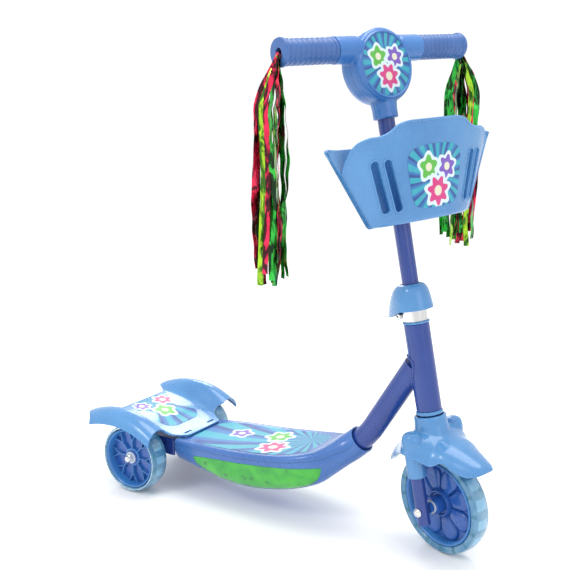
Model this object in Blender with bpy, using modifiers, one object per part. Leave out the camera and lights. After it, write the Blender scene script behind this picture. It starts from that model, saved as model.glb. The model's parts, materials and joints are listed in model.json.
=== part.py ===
"""Toddler's three-wheeled kick scooter, built as it comes apart on a bench.

Metres, +Z up, +X forward, +Y to the rider's left. The floor is Z = 0 and the origin lies under
the middle of the whole scooter. Everything on the chassis is placed from the steering foot, the
point where the tilted steering axis meets the floor. Everything that turns with the handlebar is
modelled straight in the steering frame (local Z up the steering axis, local X forward), and the
frame itself is turned a little to the right, which is how the scooter is parked.
"""

import bmesh
import bpy
from math import cos, pi, radians, sin, sqrt
from mathutils import Matrix, Vector

# ---- Driving dimensions -------------------------------------------------------------------
STEER_TILT = radians(11.0)        # the steering axis leans back by this much
STEER_AT_REST = radians(-20.0)    # how far the bars are turned when parked, to the right
FOOT_X = 0.2565                   # the steering foot, ahead of the origin
GAP = 0.0003                      # clearance between pieces that touch
RUNNING = 0.0001                  # radial clearance of what turns or slides

FRONT_WHEEL_R = 0.070
FRONT_RIM_R = 0.0585
FRONT_TYRE_HALF = 0.013
FRONT_AXLE_Z = 0.0712             # along the steering axis
REAR_WHEEL_R = 0.054
REAR_RIM_R = 0.047
REAR_TYRE_HALF = 0.0165
REAR_AXLE_X = -0.4936
REAR_WHEEL_Y = 0.081

AXLE_R = 0.004
HEAD_TUBE_R = 0.017
HEAD_TUBE_BORE = 0.015
HEAD_TUBE_LOW = 0.1983
HEAD_TUBE_TOP = 0.3155
STEERER_R = 0.0135
STEERER_TOP = 0.336
STEM_R = 0.011
STEM_LOW = 0.236
BAR_Z = 0.6727
BAR_R = 0.0095
BAR_HALF = 0.148
GRIP_INNER_END = 0.0725
GRIP_END = 0.155
DOWN_TUBE_R = 0.016
TUBE_WALL = 0.0016

LEG_Y = 0.039
LEG_R = 0.0085
LEG_LOW = 0.0526
CROWN_Z = 0.158

DASH_Z = 0.650
DASH_R = 0.048
DASH_FACE_R = 0.0395
STREAMER_DROP = 0.281

SHELL = 0.0025                    # wall of the moulded deck and fenders
BASKET_WALL = 0.0022
BASKET_BACK = 0.0172
BASKET_LOW = 0.450

ROUND = 16                        # segments of an ordinary turned piece
WHEEL_ROUND = 24
SIDES = (("left", 1), ("right", -1))


# ---- Scene, materials and collections -----------------------------------------------------
def clear_scene():
    for item in list(bpy.data.objects):
        bpy.data.objects.remove(item, do_unlink=True)


def new_collection(name):
    made = bpy.data.collections.new(name)
    bpy.context.scene.collection.children.link(made)
    return made


clear_scene()
PARTS = new_collection("kick_scooter")
CUTTERS = new_collection("cutters")

COLOURS = {                       # linear colour, roughness, metallic
    "sky_plastic": ((0.16, 0.47, 0.84), 0.30, 0.0),
    "grip_plastic": ((0.12, 0.27, 0.72), 0.45, 0.0),
    "deck_plastic": ((0.14, 0.28, 0.72), 0.32, 0.0),
    "frame_paint": ((0.055, 0.09, 0.43), 0.28, 0.0),
    "hub_plastic": ((0.035, 0.10, 0.55), 0.35, 0.0),
    "clear_tyre": ((0.20, 0.62, 0.78), 0.25, 0.0),
    "green_lens": ((0.02, 0.50, 0.06), 0.15, 0.0),
    "chrome": ((0.75, 0.75, 0.74), 0.15, 1.0),
    "steel": ((0.50, 0.50, 0.52), 0.35, 1.0),
    "printed_face": ((0.05, 0.45, 0.62), 0.25, 0.0),
    "nylon": ((0.80, 0.82, 0.84), 0.50, 0.0),
    "foil": ((0.35, 0.12, 0.10), 0.25, 0.6),
    "circuit": ((0.03, 0.20, 0.08), 0.45, 0.0),
    "cable": ((0.01, 0.01, 0.012), 0.50, 0.0),
}


def make_material(name):
    colour, roughness, metallic = COLOURS[name]
    made = bpy.data.materials.new(name)
    made.use_nodes = True
    shader = made.node_tree.nodes["Principled BSDF"]
    shader.inputs["Base Color"].default_value = (*colour, 1.0)
    shader.inputs["Roughness"].default_value = roughness
    shader.inputs["Metallic"].default_value = metallic
    return made


MATERIALS = {name: make_material(name) for name in COLOURS}


# ---- Frames that pieces are parented to ---------------------------------------------------
def add_frame(name, matrix, parent=None):
    empty = bpy.data.objects.new(name, None)
    empty.empty_display_size = 0.03
    PARTS.objects.link(empty)
    empty.parent = parent
    empty.matrix_local = matrix
    return empty


AXLE_LEFT = Matrix.Rotation(-pi / 2, 4, "X")     # turns local Z to point left
AXLE_RIGHT = Matrix.Rotation(pi / 2, 4, "X")     # turns local Z to point right

CHASSIS = add_frame("chassis_frame", Matrix.Translation((FOOT_X, 0, 0)))
STEERING = add_frame(
    "steering_axis",
    Matrix.Rotation(-STEER_TILT, 4, "Y") @ Matrix.Rotation(STEER_AT_REST, 4, "Z"),
    CHASSIS,
)
FRONT_WHEEL = add_frame(
    "front_wheel_axis", Matrix.Translation((0, 0, FRONT_AXLE_Z)) @ AXLE_LEFT, STEERING
)
REAR_WHEELS = {
    "left": add_frame(
        "rear_left_axis",
        Matrix.Translation((REAR_AXLE_X, REAR_WHEEL_Y, REAR_WHEEL_R)) @ AXLE_LEFT,
        CHASSIS,
    ),
    "right": add_frame(
        "rear_right_axis",
        Matrix.Translation((REAR_AXLE_X, -REAR_WHEEL_Y, REAR_WHEEL_R)) @ AXLE_RIGHT,
        CHASSIS,
    ),
}


# ---- Modelling helpers --------------------------------------------------------------------
def place(name, mesh, material, frame, matrix=Matrix.Identity(4)):
    """Links a mesh object; without a material it is a cutter or a guide."""
    item = bpy.data.objects.new(name, mesh)
    if material:
        mesh.materials.append(MATERIALS[material])
        PARTS.objects.link(item)
    else:
        CUTTERS.objects.link(item)
        item.hide_render = True
        item.display_type = "WIRE"
    item.parent = frame
    item.matrix_local = matrix
    return item


def from_bmesh(name, bm, material, frame, matrix=Matrix.Identity(4), smooth=True):
    mesh = bpy.data.meshes.new(name)
    bm.to_mesh(mesh)
    bm.free()
    if smooth:
        mesh.shade_smooth()
        mesh.set_sharp_from_angle(angle=radians(35))
    return place(name, mesh, material, frame, matrix)


def aim(origin, toward):
    """A matrix that moves local Z onto a direction at a point."""
    turn = Vector(toward).to_track_quat("Z", "Y").to_matrix().to_4x4()
    return Matrix.Translation(origin) @ turn


def turned(name, profile, material, frame, origin=(0, 0, 0), toward=(0, 0, 1), ring=True, steps=ROUND):
    """Turns (radius, height) points about an axis: down the outside first, then back up inside.

    A ring's profile is joined end to start; any other profile starts and ends on the axis.
    """
    mesh = bpy.data.meshes.new(name)
    count = len(profile)
    edges = [(i, i + 1) for i in range(count - 1)]
    if ring:
        edges.append((count - 1, 0))
    mesh.from_pydata([(radius, 0, height) for radius, height in profile], edges, [])
    item = place(name, mesh, material, frame, aim(origin, toward))
    screw = item.modifiers.new("Turn", "SCREW")
    screw.axis = "Z"
    screw.steps = steps
    screw.render_steps = steps
    screw.use_merge_vertices = True
    screw.merge_threshold = 0.00001
    screw.use_smooth_shade = True
    return item


def tube(name, low, top, outer, bore, material, frame, **placing):
    profile = [(outer, top), (outer, low), (bore, low), (bore, top)]
    return turned(name, profile, material, frame, **placing)


def rod(name, start, end, radius, material, frame, end_radius=None, steps=ROUND):
    start, end = Vector(start), Vector(end)
    bm = bmesh.new()
    bmesh.ops.create_cone(
        bm,
        cap_ends=True,
        segments=steps,
        radius1=radius,
        radius2=radius if end_radius is None else end_radius,
        depth=(end - start).length,
    )
    return from_bmesh(name, bm, material, frame, aim((start + end) / 2, end - start))


def rod_across(name, x, z, reach, radius, material, frame, **shape):
    """A rod along Y whose middle is on the centre plane."""
    return rod(name, (x, -reach, z), (x, reach, z), radius, material, frame, **shape)


def rod_up(name, y, low, high, radius, material, frame, **shape):
    """A rod along Z, at the steering axis or to one side of it."""
    return rod(name, (0, y, low), (0, y, high), radius, material, frame, **shape)


def box(name, low, high, material, frame, bevel=0.0):
    low, high = Vector(low), Vector(high)
    bm = bmesh.new()
    bmesh.ops.create_cube(bm, size=1.0)
    bmesh.ops.scale(bm, vec=high - low, verts=bm.verts)
    bmesh.ops.translate(bm, vec=(low + high) / 2, verts=bm.verts)
    item = from_bmesh(name, bm, material, frame)
    if bevel:
        soften = item.modifiers.new("Edges", "BEVEL")
        soften.width = bevel
        soften.segments = 2
    return item


def loft(name, rings, material, frame, around=True, caps=True):
    """Skins equal rings of points; an open loft (around=False) leaves each ring unjoined."""
    bm = bmesh.new()
    rows = [[bm.verts.new(point) for point in ring] for ring in rings]
    for row, following in zip(rows, rows[1:]):
        last = len(row) if around else len(row) - 1
        for i in range(last):
            j = (i + 1) % len(row)
            bm.faces.new((row[i], row[j], following[j], following[i]))
    if caps:
        bm.faces.new(rows[0])
        bm.faces.new(rows[-1])
        bmesh.ops.recalc_face_normals(bm, faces=bm.faces)
    return from_bmesh(name, bm, material, frame)


def combine(item, other, operation):
    """Cuts, joins or intersects a piece with another object, which then only guides it."""
    step = item.modifiers.new(other.name, "BOOLEAN")
    step.operation = operation
    step.object = other


def cut(item, *others):
    for other in others:
        combine(item, other, "DIFFERENCE")


def join(item, *others):
    for other in others:
        combine(item, other, "UNION")


def thicken(item, wall, offset=-1.0):
    shell = item.modifiers.new("Wall", "SOLIDIFY")
    shell.thickness = wall
    shell.offset = offset
    shell.use_even_offset = True


def spline(p, q, r, s, t):
    """The Catmull-Rom value between q and r, where p and s are their outer neighbours."""
    slope = r - p
    bow = 2 * p - 5 * q + 4 * r - s
    twist = 3 * q - p - 3 * r + s
    return 0.5 * (2 * q + slope * t + bow * t * t + twist * t**3)


def through(stations, position):
    """The smooth value of a list of tuples at a position counted in stations."""
    last = len(stations) - 1
    i = min(int(position), last - 1)
    around = (stations[min(max(i + k, 0), last)] for k in (-1, 0, 1, 2))
    return tuple(spline(*values, position - i) for values in zip(*around))


def refined(stations, steps):
    """More stations on the smooth curve through the given ones."""
    count = (len(stations) - 1) * steps
    return [through(stations, k / steps) for k in range(count + 1)]


def blend_step(value, low, high):
    """0 below low, 1 above high, and a smooth S between them."""
    t = min(max((value - low) / (high - low), 0.0), 1.0)
    return t * t * (3 - 2 * t)


def arch(half_width, height, corner, arc_steps=5, flat_steps=4):
    """A rounded arch of (across, up) points, from its left foot over the top to its right foot."""
    corner = min(corner, height - 0.0004, half_width - 0.0004)
    inner, spring = half_width - corner, height - corner
    points = [(-half_width, 0.0)]
    for k in range(arc_steps + 1):
        angle = pi - 0.5 * pi * k / arc_steps
        points.append((corner * cos(angle) - inner, spring + corner * sin(angle)))
    points += [(inner * (2 * k / flat_steps - 1), height) for k in range(1, flat_steps)]
    points += [(-across, up) for across, up in reversed(points[: arc_steps + 2])]
    return points


def curve_tube(name, points, radius, material, frame, sides=3):
    """A round bar along a path, made into a closed mesh."""
    data = bpy.data.curves.new(name, "CURVE")
    data.dimensions = "3D"
    data.bevel_depth = radius
    data.bevel_resolution = sides
    data.use_fill_caps = True
    spline = data.splines.new("POLY")
    spline.points.add(len(points) - 1)
    for knot, point in zip(spline.points, points):
        knot.co = (*point, 1.0)
    guide = bpy.data.objects.new(name + "_path", data)
    CUTTERS.objects.link(guide)
    bpy.context.view_layer.update()
    graph = bpy.context.evaluated_depsgraph_get()
    mesh = bpy.data.meshes.new_from_object(guide.evaluated_get(graph))
    bpy.data.objects.remove(guide, do_unlink=True)
    bm = bmesh.new()
    bm.from_mesh(mesh)
    bmesh.ops.remove_doubles(bm, verts=bm.verts, dist=0.00001)
    bmesh.ops.recalc_face_normals(bm, faces=bm.faces)
    bpy.data.meshes.remove(mesh)
    return from_bmesh(name, bm, material, frame)


# ---- Chassis: frame, bushes, deck ---------------------------------------------------------
BEND_STEEP = radians(58.5)        # slope of the down tube above its first bend
BEND_SHALLOW = radians(40.0)      # slope between the two bends
BEND_START = (-0.118, 0.1556)
BEND_RADIUS = 0.115
SECOND_BEND_RADIUS = 0.120
KEEL_Z = 0.064                    # height of the straight run inside the deck
KEEL_END = -0.4870
BRACKET_Y = 0.0505                # inner face of the rear bracket's cheeks
BRACKET_WALL = 0.0028


def bend(start, slope_in, slope_out, radius, steps):
    """Points of an arc in the XZ plane for a tube that runs backwards and down."""
    points = []
    for k in range(steps + 1):
        slope = slope_in + (slope_out - slope_in) * k / steps
        x = start[0] - radius * (sin(slope_in) - sin(slope))
        z = start[1] - radius * (cos(slope) - cos(slope_in))
        points.append((x, 0.0, z))
    return points


def down_tube_path():
    top = 0.118
    start = (
        BEND_START[0] + top * cos(BEND_STEEP),
        0.0,
        BEND_START[1] + top * sin(BEND_STEEP),
    )
    first = bend(BEND_START, BEND_STEEP, BEND_SHALLOW, BEND_RADIUS, 3)
    second_low = KEEL_Z + SECOND_BEND_RADIUS * (1 - cos(BEND_SHALLOW))
    run = (first[-1][2] - second_low) / sin(BEND_SHALLOW)
    second_start = (first[-1][0] - run * cos(BEND_SHALLOW), second_low)
    second = bend(second_start, BEND_SHALLOW, 0.0, SECOND_BEND_RADIUS, 4)
    return [start] + first + second + [(KEEL_END, 0.0, KEEL_Z)]


def make_main_frame():
    path = down_tube_path()
    frame = curve_tube("main_frame", path, DOWN_TUBE_R, "frame_paint", CHASSIS, 4)
    axis = Vector((-sin(STEER_TILT), 0, cos(STEER_TILT)))
    head = rod(
        "head_tube_outside", axis * HEAD_TUBE_LOW, axis * HEAD_TUBE_TOP, HEAD_TUBE_R, None, CHASSIS
    )
    head_bore = rod("head_tube_bore", axis * 0.18, axis * 0.34, HEAD_TUBE_BORE, None, CHASSIS)
    axle = (REAR_AXLE_X, REAR_WHEEL_R)
    cross_tube = rod_across("cross_tube_outside", *axle, BRACKET_Y - 0.0005, 0.011, None, CHASSIS)
    cross_bore = rod_across("cross_tube_bore", *axle, 0.06, AXLE_R + 0.0006, None, CHASSIS)
    hollow = path[1:-1] + [(KEEL_END + 0.014, 0.0, KEEL_Z)]
    inside = curve_tube("down_tube_bore", hollow, DOWN_TUBE_R - TUBE_WALL, None, CHASSIS, 4)
    drain = rod("drain_hole", (-0.20, 0, 0.0), (-0.20, 0, 0.085), 0.003, None, CHASSIS, steps=12)
    join(frame, head, cross_tube)
    cut(frame, inside, head_bore, cross_bore, drain)


def make_headset():
    """The two flanged bushes the steerer turns in, pressed into the ends of the head tube."""
    bore, steps = STEERER_R + RUNNING, 28
    sleeve = HEAD_TUBE_BORE - GAP
    depth = 0.011
    low, top = HEAD_TUBE_LOW - GAP, HEAD_TUBE_TOP + GAP
    lower = [
        (sleeve, HEAD_TUBE_LOW + depth), (sleeve, low), (0.0175, low),
        (0.0178, low - 0.0048), (bore, low - 0.0048), (bore, HEAD_TUBE_LOW + depth),
    ]
    upper = [
        (0.0172, top + 0.0022), (0.0172, top), (sleeve, top),
        (sleeve, HEAD_TUBE_TOP - depth), (bore, HEAD_TUBE_TOP - depth), (bore, top + 0.0022),
    ]
    turned("lower_head_bush", lower, "sky_plastic", STEERING, steps=steps)
    turned("upper_head_bush", upper, "sky_plastic", STEERING, steps=steps)


# Deck stations from rear to front: place of the seam (x, z), how far the section leans back,
# half width, height above the seam, depth below it, and the top and bottom corner radii.
DECK = [
    (-0.4340, 0.0785, 1, 0.0560, 0.0070, 0.0345, 0.006, 0.032),
    (-0.4100, 0.0802, 2, 0.0600, 0.0072, 0.0380, 0.006, 0.033),
    (-0.3800, 0.0822, 3, 0.0640, 0.0074, 0.0425, 0.006, 0.032),
    (-0.3400, 0.0846, 4, 0.0658, 0.0076, 0.0480, 0.006, 0.028),
    (-0.3000, 0.0876, 6, 0.0660, 0.0078, 0.0520, 0.006, 0.030),
    (-0.2600, 0.0922, 9, 0.0652, 0.0080, 0.0500, 0.006, 0.030),
    (-0.2270, 0.0965, 14, 0.0622, 0.0088, 0.0450, 0.006, 0.028),
    (-0.2000, 0.1015, 22, 0.0560, 0.0102, 0.0388, 0.007, 0.026),
    (-0.1800, 0.1062, 30, 0.0470, 0.0124, 0.0288, 0.009, 0.024),
    (-0.1640, 0.1130, 36, 0.0360, 0.0155, 0.0232, 0.012, 0.021),
    (-0.1490, 0.1212, 41, 0.0258, 0.0200, 0.0203, 0.0175, 0.0198),
    (-0.1375, 0.1317, 43, 0.0200, 0.0200, 0.0200, 0.020, 0.020),
]


def deck_ring(station, up):
    """One deck section: the upper half (up=1) or the lower half (up=-1)."""
    x, z, lean, half_width, height, depth, top_corner, low_corner = station
    rise, corner = (height, top_corner) if up > 0 else (depth, low_corner)
    tilt = radians(lean)
    points = arch(half_width, rise, corner, arc_steps=3, flat_steps=2)
    return [
        (x - (h + GAP / 2) * up * sin(tilt), across, z + (h + GAP / 2) * up * cos(tilt))
        for across, h in points
    ]


def make_deck_shell(name, up):
    rings = [deck_ring(station, up) for station in DECK]
    if up > 0:
        rings = [ring[::-1] for ring in rings]
    item = loft(name, rings, "deck_plastic", CHASSIS, around=False, caps=False)
    thicken(item, SHELL)
    return item


SCREW_X = {"rear": -0.3800, "front": -0.2600}
SCREW_Y = 0.0235
SCREW_LIFT = 0.0006               # a flat screw head under the sloping belly


def between(line, x):
    """Reads a straight-line height off a list of (x, height) points in rising order of x."""
    for near, far in zip(line, line[1:]):
        if near[0] <= x <= far[0]:
            return near[1] + (far[1] - near[1]) * (x - near[0]) / (far[0] - near[0])
    raise ValueError(x)


SEAM_LINE = [(station[0], station[1]) for station in DECK]
BELLY_LINE = [
    (x + depth * sin(radians(lean)), z - (depth + GAP / 2) * cos(radians(lean)))
    for x, z, lean, _, _, depth, _, _ in DECK
]


LENS_X = (-0.392, -0.176)         # rear and front tips of the side windows


def lens_outline(margin):
    """Side view of a window: a long leaf under the seam, fuller towards its rear half."""
    rear, front = LENS_X
    upper, lower = [], []
    count = 20
    for k in range(count + 1):
        angle = pi * k / count
        x = 0.5 * (rear + front) - 0.5 * (front - rear) * cos(angle)
        seam = between(SEAM_LINE, x)
        share = sin(angle) ** 0.75
        depth = 0.037 * share * (1 - 0.22 * cos(angle) ** 3)
        upper.append((x, seam - 0.0075 - 0.006 * (1 - share)))
        lower.append((x, seam - 0.0095 - depth))
    outline = upper + lower[-2:0:-1]
    middle_x = sum(x for x, _ in outline) / len(outline)
    middle_z = sum(z for _, z in outline) / len(outline)
    grown = []
    for x, z in outline:
        away = Vector((x - middle_x, z - middle_z))
        away = away + away.normalized() * margin
        grown.append((middle_x + away.x, middle_z + away.y))
    return grown


def lens_block(name, side, margin):
    outline = lens_outline(margin)
    rings = [[(x, side * y, z) for x, z in outline] for y in (0.028, 0.075)]
    return loft(name, rings, None, CHASSIS)


def make_deck():
    top = make_deck_shell("deck_top", 1)
    bottom = make_deck_shell("deck_bottom", -1)
    for end, x in SCREW_X.items():
        for word, side in SIDES:
            fasten_deck(top, bottom, f"{end}_{word}", x, side * SCREW_Y)
    for word, side in SIDES:
        lens = make_deck_shell(f"side_lens_{word}", -1)
        lens.data.materials.clear()
        lens.data.materials.append(MATERIALS["green_lens"])
        combine(lens, lens_block(f"lens_shape_{word}", side, 0.0), "INTERSECT")
        cut(bottom, lens_block(f"lens_window_{word}", side, 0.0006))
    make_lights(bottom)


def fasten_deck(top, bottom, tag, x, y):
    """A post under the upper shell, a hole in the lower one and the screw that joins them."""
    floor = between(BELLY_LINE, x) - SCREW_LIFT
    roof = between(SEAM_LINE, x) + 0.0062
    post = rod(f"post_{tag}", (x, y, floor + 0.0045), (x, y, roof), 0.0040, None, CHASSIS)
    pilot = rod(f"pilot_{tag}", (x, y, floor), (x, y, floor + 0.016), 0.0017, None, CHASSIS)
    hole = rod(f"hole_{tag}", (x, y, floor - 0.01), (x, y, floor + 0.01), 0.0021, None, CHASSIS)
    join(top, post)
    cut(top, pilot)
    cut(bottom, hole)
    make_screw(f"deck_screw_{tag}", (x, y, floor), (0, 0, 1), CHASSIS, 0.014)


def make_screw(name, seat, toward, frame, length):
    """A pan-head screw whose head stands off its seat and whose shank points at 'toward'."""
    head, shank = 0.0034, 0.0013
    profile = [
        (0.0, length), (shank * 0.6, length), (shank, length - 0.001), (shank, -GAP),
        (head, -GAP), (head * 0.92, -0.0012), (head * 0.6, -0.0020), (0.0, -0.0022),
    ]
    turned(name, profile, "steel", frame, origin=seat, toward=toward, ring=False, steps=14)


BATTERY_X = (-0.338, -0.304)
BATTERY_Y = 0.017
COVER_X = (-0.339, -0.302)
LAMP_Y = 0.042


def make_lights(bottom):
    """Battery, its cover in the belly, and a small lamp board behind each side window."""
    low = between(BELLY_LINE, -0.320)
    rear, front = BATTERY_X
    base, lid = low + 0.0042, low + 0.0115
    box("battery_pack", (rear, -BATTERY_Y, base), (front, BATTERY_Y, lid), "nylon", CHASSIS, 0.001)
    rear, front = COVER_X
    reach = BATTERY_Y + 0.001
    corners = ((rear, -reach), (front, -reach), (front, reach), (rear, reach))
    rings = [
        [(x, y, between(BELLY_LINE, x) + lift) for x, y in corners] for lift in (0.0001, SHELL)
    ]
    loft("battery_cover", rings, "deck_plastic", CHASSIS)
    margin = 0.0005
    window_low = (rear - margin, -reach - margin, low - 0.01)
    window_high = (front + margin, reach + margin, low + 0.012)
    cut(bottom, box("battery_window", window_low, window_high, None, CHASSIS))
    for word, side in SIDES:
        make_lamp(word, side, low)


def make_lamp(word, side, low):
    """A board with one lamp that looks out through the window, and its wire to the battery."""
    y = side * LAMP_Y
    name = f"lamp_board_{word}"
    board = box(name, (-0.318, y - 0.0011, 0.052), (-0.282, y + 0.0011, 0.068), "circuit", CHASSIS)
    bulb_end = (-0.292, side * 0.0485, 0.060)
    bulb = rod(f"lamp_{word}", (-0.292, y, 0.060), bulb_end, 0.0025, None, CHASSIS, steps=14)
    join(board, bulb)
    route = [
        (-0.3030, 0.0100, low + 0.0085), (-0.2980, 0.0160, low + 0.0105),
        (-0.2900, 0.0260, 0.0470), (-0.2760, 0.0360, 0.0490), (-0.2680, 0.0420, 0.0560),
        (-0.2700, 0.0445, 0.0640), (-0.2790, 0.0430, 0.0640), (-0.2816, 0.0420, 0.0635),
    ]
    wire = [(x, side * out, z) for x, out, z in refined(route, 2)]
    curve_tube(f"lamp_wire_{word}", wire, 0.0009, "cable", CHASSIS, 1)


# ---- Rear end: bracket, axle, fender ------------------------------------------------------
def make_rear_bracket():
    """A folded steel bridge over the cross tube that carries the fender."""
    low, high = (-0.512, 0.048), (-0.4375, 0.0836)
    reach = BRACKET_Y + BRACKET_WALL
    outer_low, outer_high = (low[0], -reach, low[1]), (high[0], reach, high[1])
    outer = box("rear_bracket", outer_low, outer_high, "frame_paint", CHASSIS, 0.002)
    inner_low, inner_high = (-0.60, -BRACKET_Y, 0.0), (-0.40, BRACKET_Y, high[1] - BRACKET_WALL)
    inner = box("bracket_inside", inner_low, inner_high, None, CHASSIS)
    axle = (REAR_AXLE_X, REAR_WHEEL_R)
    hole = rod_across("bracket_axle_hole", *axle, 0.07, AXLE_R + 0.0006, None, CHASSIS)
    notch = box("bracket_notch", (-0.4780, -0.10, 0.04), (-0.43, 0.10, 0.0575), None, CHASSIS)
    cut(outer, inner, hole, notch)


# Saddle and crest heights of the rear fender against x, front to rear.
SADDLE_LINE = [
    (-0.421, 0.0906), (-0.440, 0.0920), (-0.462, 0.0965), (-0.490, 0.1050),
    (-0.520, 0.1105), (-0.550, 0.1130), (-0.585, 0.1120),
]
CREST_LINE = [
    (-0.421, 0.1010), (-0.440, 0.1130), (-0.472, 0.1250), (-0.504, 0.1300),
    (-0.536, 0.1280), (-0.566, 0.1205), (-0.588, 0.1110),
]
FENDER_HALF = 0.112


def height_on(line, x):
    """Reads a smooth height off a line of (x, height) points."""
    low, high = 0.0, len(line) - 1.0
    for _ in range(30):
        middle = 0.5 * (low + high)
        if through(line, middle)[0] > x:
            low = middle
        else:
            high = middle
    return through(line, low)[1]


def fender_point(along, across):
    """A point of the rear fender's upper side: along 0 is its rear edge, 1 its front edge."""
    y = abs(across)
    rear = -0.550 - 0.024 * blend_step(y, 0.050, 0.074) + 0.014 * blend_step(y, 0.094, 0.112)
    front = -0.420 - 0.026 * blend_step(y, 0.036, 0.062) + 0.008 * blend_step(y, 0.064, 0.078)
    x = rear + (front - rear) * along
    saddle, crest = height_on(SADDLE_LINE, x), height_on(CREST_LINE, x)
    z = saddle + (crest - saddle) * blend_step(y, 0.052, 0.086)
    if y < 0.052:
        z -= 0.0007 * (1 - (y / 0.052) ** 2)
    if y > 0.088:
        z -= 0.024 * (1 - sqrt(max(0.0, 1 - ((y - 0.088) / 0.0242) ** 2)))
    return (x, across, z)


def make_rear_fender():
    across_steps, along_steps = 22, 8
    rings = []
    for k in range(along_steps + 1):
        ring = []
        for i in range(across_steps, -1, -1):
            share = 2 * i / across_steps - 1
            across = FENDER_HALF * (1.15 * share - 0.15 * share**3)
            ring.append(fender_point(k / along_steps, across))
        rings.append(ring)
    item = loft("rear_fender", rings, "sky_plastic", CHASSIS, around=False, caps=False)
    thicken(item, SHELL)
    for word, side in SIDES:
        middle = side * 0.0285
        low, high = (-0.4315, middle - 0.008, 0.07), (-0.4275, middle + 0.008, 0.11)
        cut(item, box(f"fender_slot_{word}", low, high, None, CHASSIS, 0.0016))


def make_rear_axle():
    axle = (REAR_AXLE_X, REAR_WHEEL_R)
    rod_across("rear_axle", *axle, 0.0990, AXLE_R, "steel", CHASSIS)
    inner = BRACKET_Y + BRACKET_WALL + GAP - REAR_WHEEL_Y
    for word, frame in REAR_WHEELS.items():
        tube(f"rear_spacer_{word}", inner, -0.0182, 0.0075, 0.0045, "nylon", frame)
        make_cap_nut(f"rear_axle_nut_{word}", 0.0103, 0.0063, frame)


def make_cap_nut(name, seat, radius, frame):
    """A domed nut over the end of an axle; its blind bore takes the axle's tip."""
    bore = AXLE_R + GAP
    shoulder, height, steps = seat + 0.0055, 0.0045, 3
    profile = [(0.0, shoulder + height)]
    for k in range(steps - 1, -1, -1):
        angle = 0.5 * pi * k / steps
        profile.append((radius * cos(angle), shoulder + height * sin(angle)))
    profile += [
        (radius, seat + 0.001), (radius - 0.0006, seat), (bore, seat),
        (bore, seat + 0.0084), (0.0, seat + 0.0084),
    ]
    turned(name, profile, "chrome", frame, ring=False, steps=14)


# ---- Wheels -------------------------------------------------------------------------------
def make_tyre(name, outer, inner, half, crown, frame):
    """A cast tyre: a bowed tread between two rounded shoulders, hollow at the rim seat."""
    swing, steps = 0.9, 2
    shoulder = outer - crown - 0.0030
    profile = [(inner + 0.0035, half), (shoulder, half * 0.96)]
    for k in range(-steps, steps + 1):
        bow = (1 - cos(swing * k / steps)) / (1 - cos(swing))
        profile.append((outer - crown * bow, -half * 0.78 * k / steps))
    profile += [
        (shoulder, -half * 0.96), (inner + 0.0035, -half), (inner, -half * 0.8), (inner, half * 0.8),
    ]
    turned(name, profile, "clear_tyre", frame, steps=WHEEL_ROUND)


def make_hub(name, rim, half, web, boss, boss_r, frame):
    """Rim, recessed web, boss and raised spokes on the outer side; local +Z is outwards.

    web and boss are the (outer, inner) levels of their faces.
    """
    bore, spokes = 0.0075, 8
    outer, inner = rim - GAP, rim - 0.0048
    profile = [
        (outer, half * 0.78), (outer, -half * 0.78), (outer - 0.0012, -half * 0.92),
        (inner, -half * 0.9), (inner - 0.001, web[1]), (boss_r + 0.001, web[1]),
        (boss_r, boss[1]), (bore, boss[1]), (bore, boss[0]), (boss_r, boss[0]),
        (boss_r + 0.001, web[0]), (inner - 0.001, web[0]), (inner, half * 0.9),
        (outer - 0.0012, half * 0.92),
    ]
    hub = turned(name, profile, "hub_plastic", frame, steps=WHEEL_ROUND)
    low = (boss_r - 0.0005, -0.0022, web[0] - 0.0006)
    high = (inner - 0.0004, 0.0022, web[0] + 0.0040)
    for k in range(spokes):
        spoke = box(f"{name}_spoke_{k}", low, high, None, frame)
        spoke.matrix_local = Matrix.Rotation(2 * pi * k / spokes, 4, "Z")
        join(hub, spoke)


def make_bush(name, seat, inwards, frame):
    """A flanged nylon bush pressed into a hub from one face; inwards is +1 or -1 along Z."""
    bore, sleeve, flange = AXLE_R + RUNNING, 0.0072, 0.0092
    profile = [
        (flange, -GAP), (flange, -0.0014), (bore, -0.0014),
        (bore, 0.0085), (sleeve, 0.0085), (sleeve, -GAP),
    ]
    placed = [(radius, seat + inwards * depth) for radius, depth in profile]
    turned(name, placed if inwards > 0 else placed[::-1], "nylon", frame)


def make_wheels():
    reach = 0.022
    make_tyre("front_tyre", FRONT_WHEEL_R, FRONT_RIM_R, FRONT_TYRE_HALF, 0.0022, FRONT_WHEEL)
    faces = ((0.004, -0.004), (reach, -reach))
    make_hub("front_hub", FRONT_RIM_R, FRONT_TYRE_HALF, *faces, 0.0125, FRONT_WHEEL)
    make_bush("front_bush_left", reach, -1, FRONT_WHEEL)
    make_bush("front_bush_right", -reach, 1, FRONT_WHEEL)
    boss = (0.0085, -0.0165)
    for word, frame in REAR_WHEELS.items():
        make_tyre(f"rear_tyre_{word}", REAR_WHEEL_R, REAR_RIM_R, REAR_TYRE_HALF, 0.0026, frame)
        faces = ((0.001, -0.003), boss)
        make_hub(f"rear_hub_{word}", REAR_RIM_R, REAR_TYRE_HALF, *faces, 0.0112, frame)
        make_bush(f"rear_bush_{word}_outer", boss[0], -1, frame)
        make_bush(f"rear_bush_{word}_inner", boss[1], 1, frame)


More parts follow.
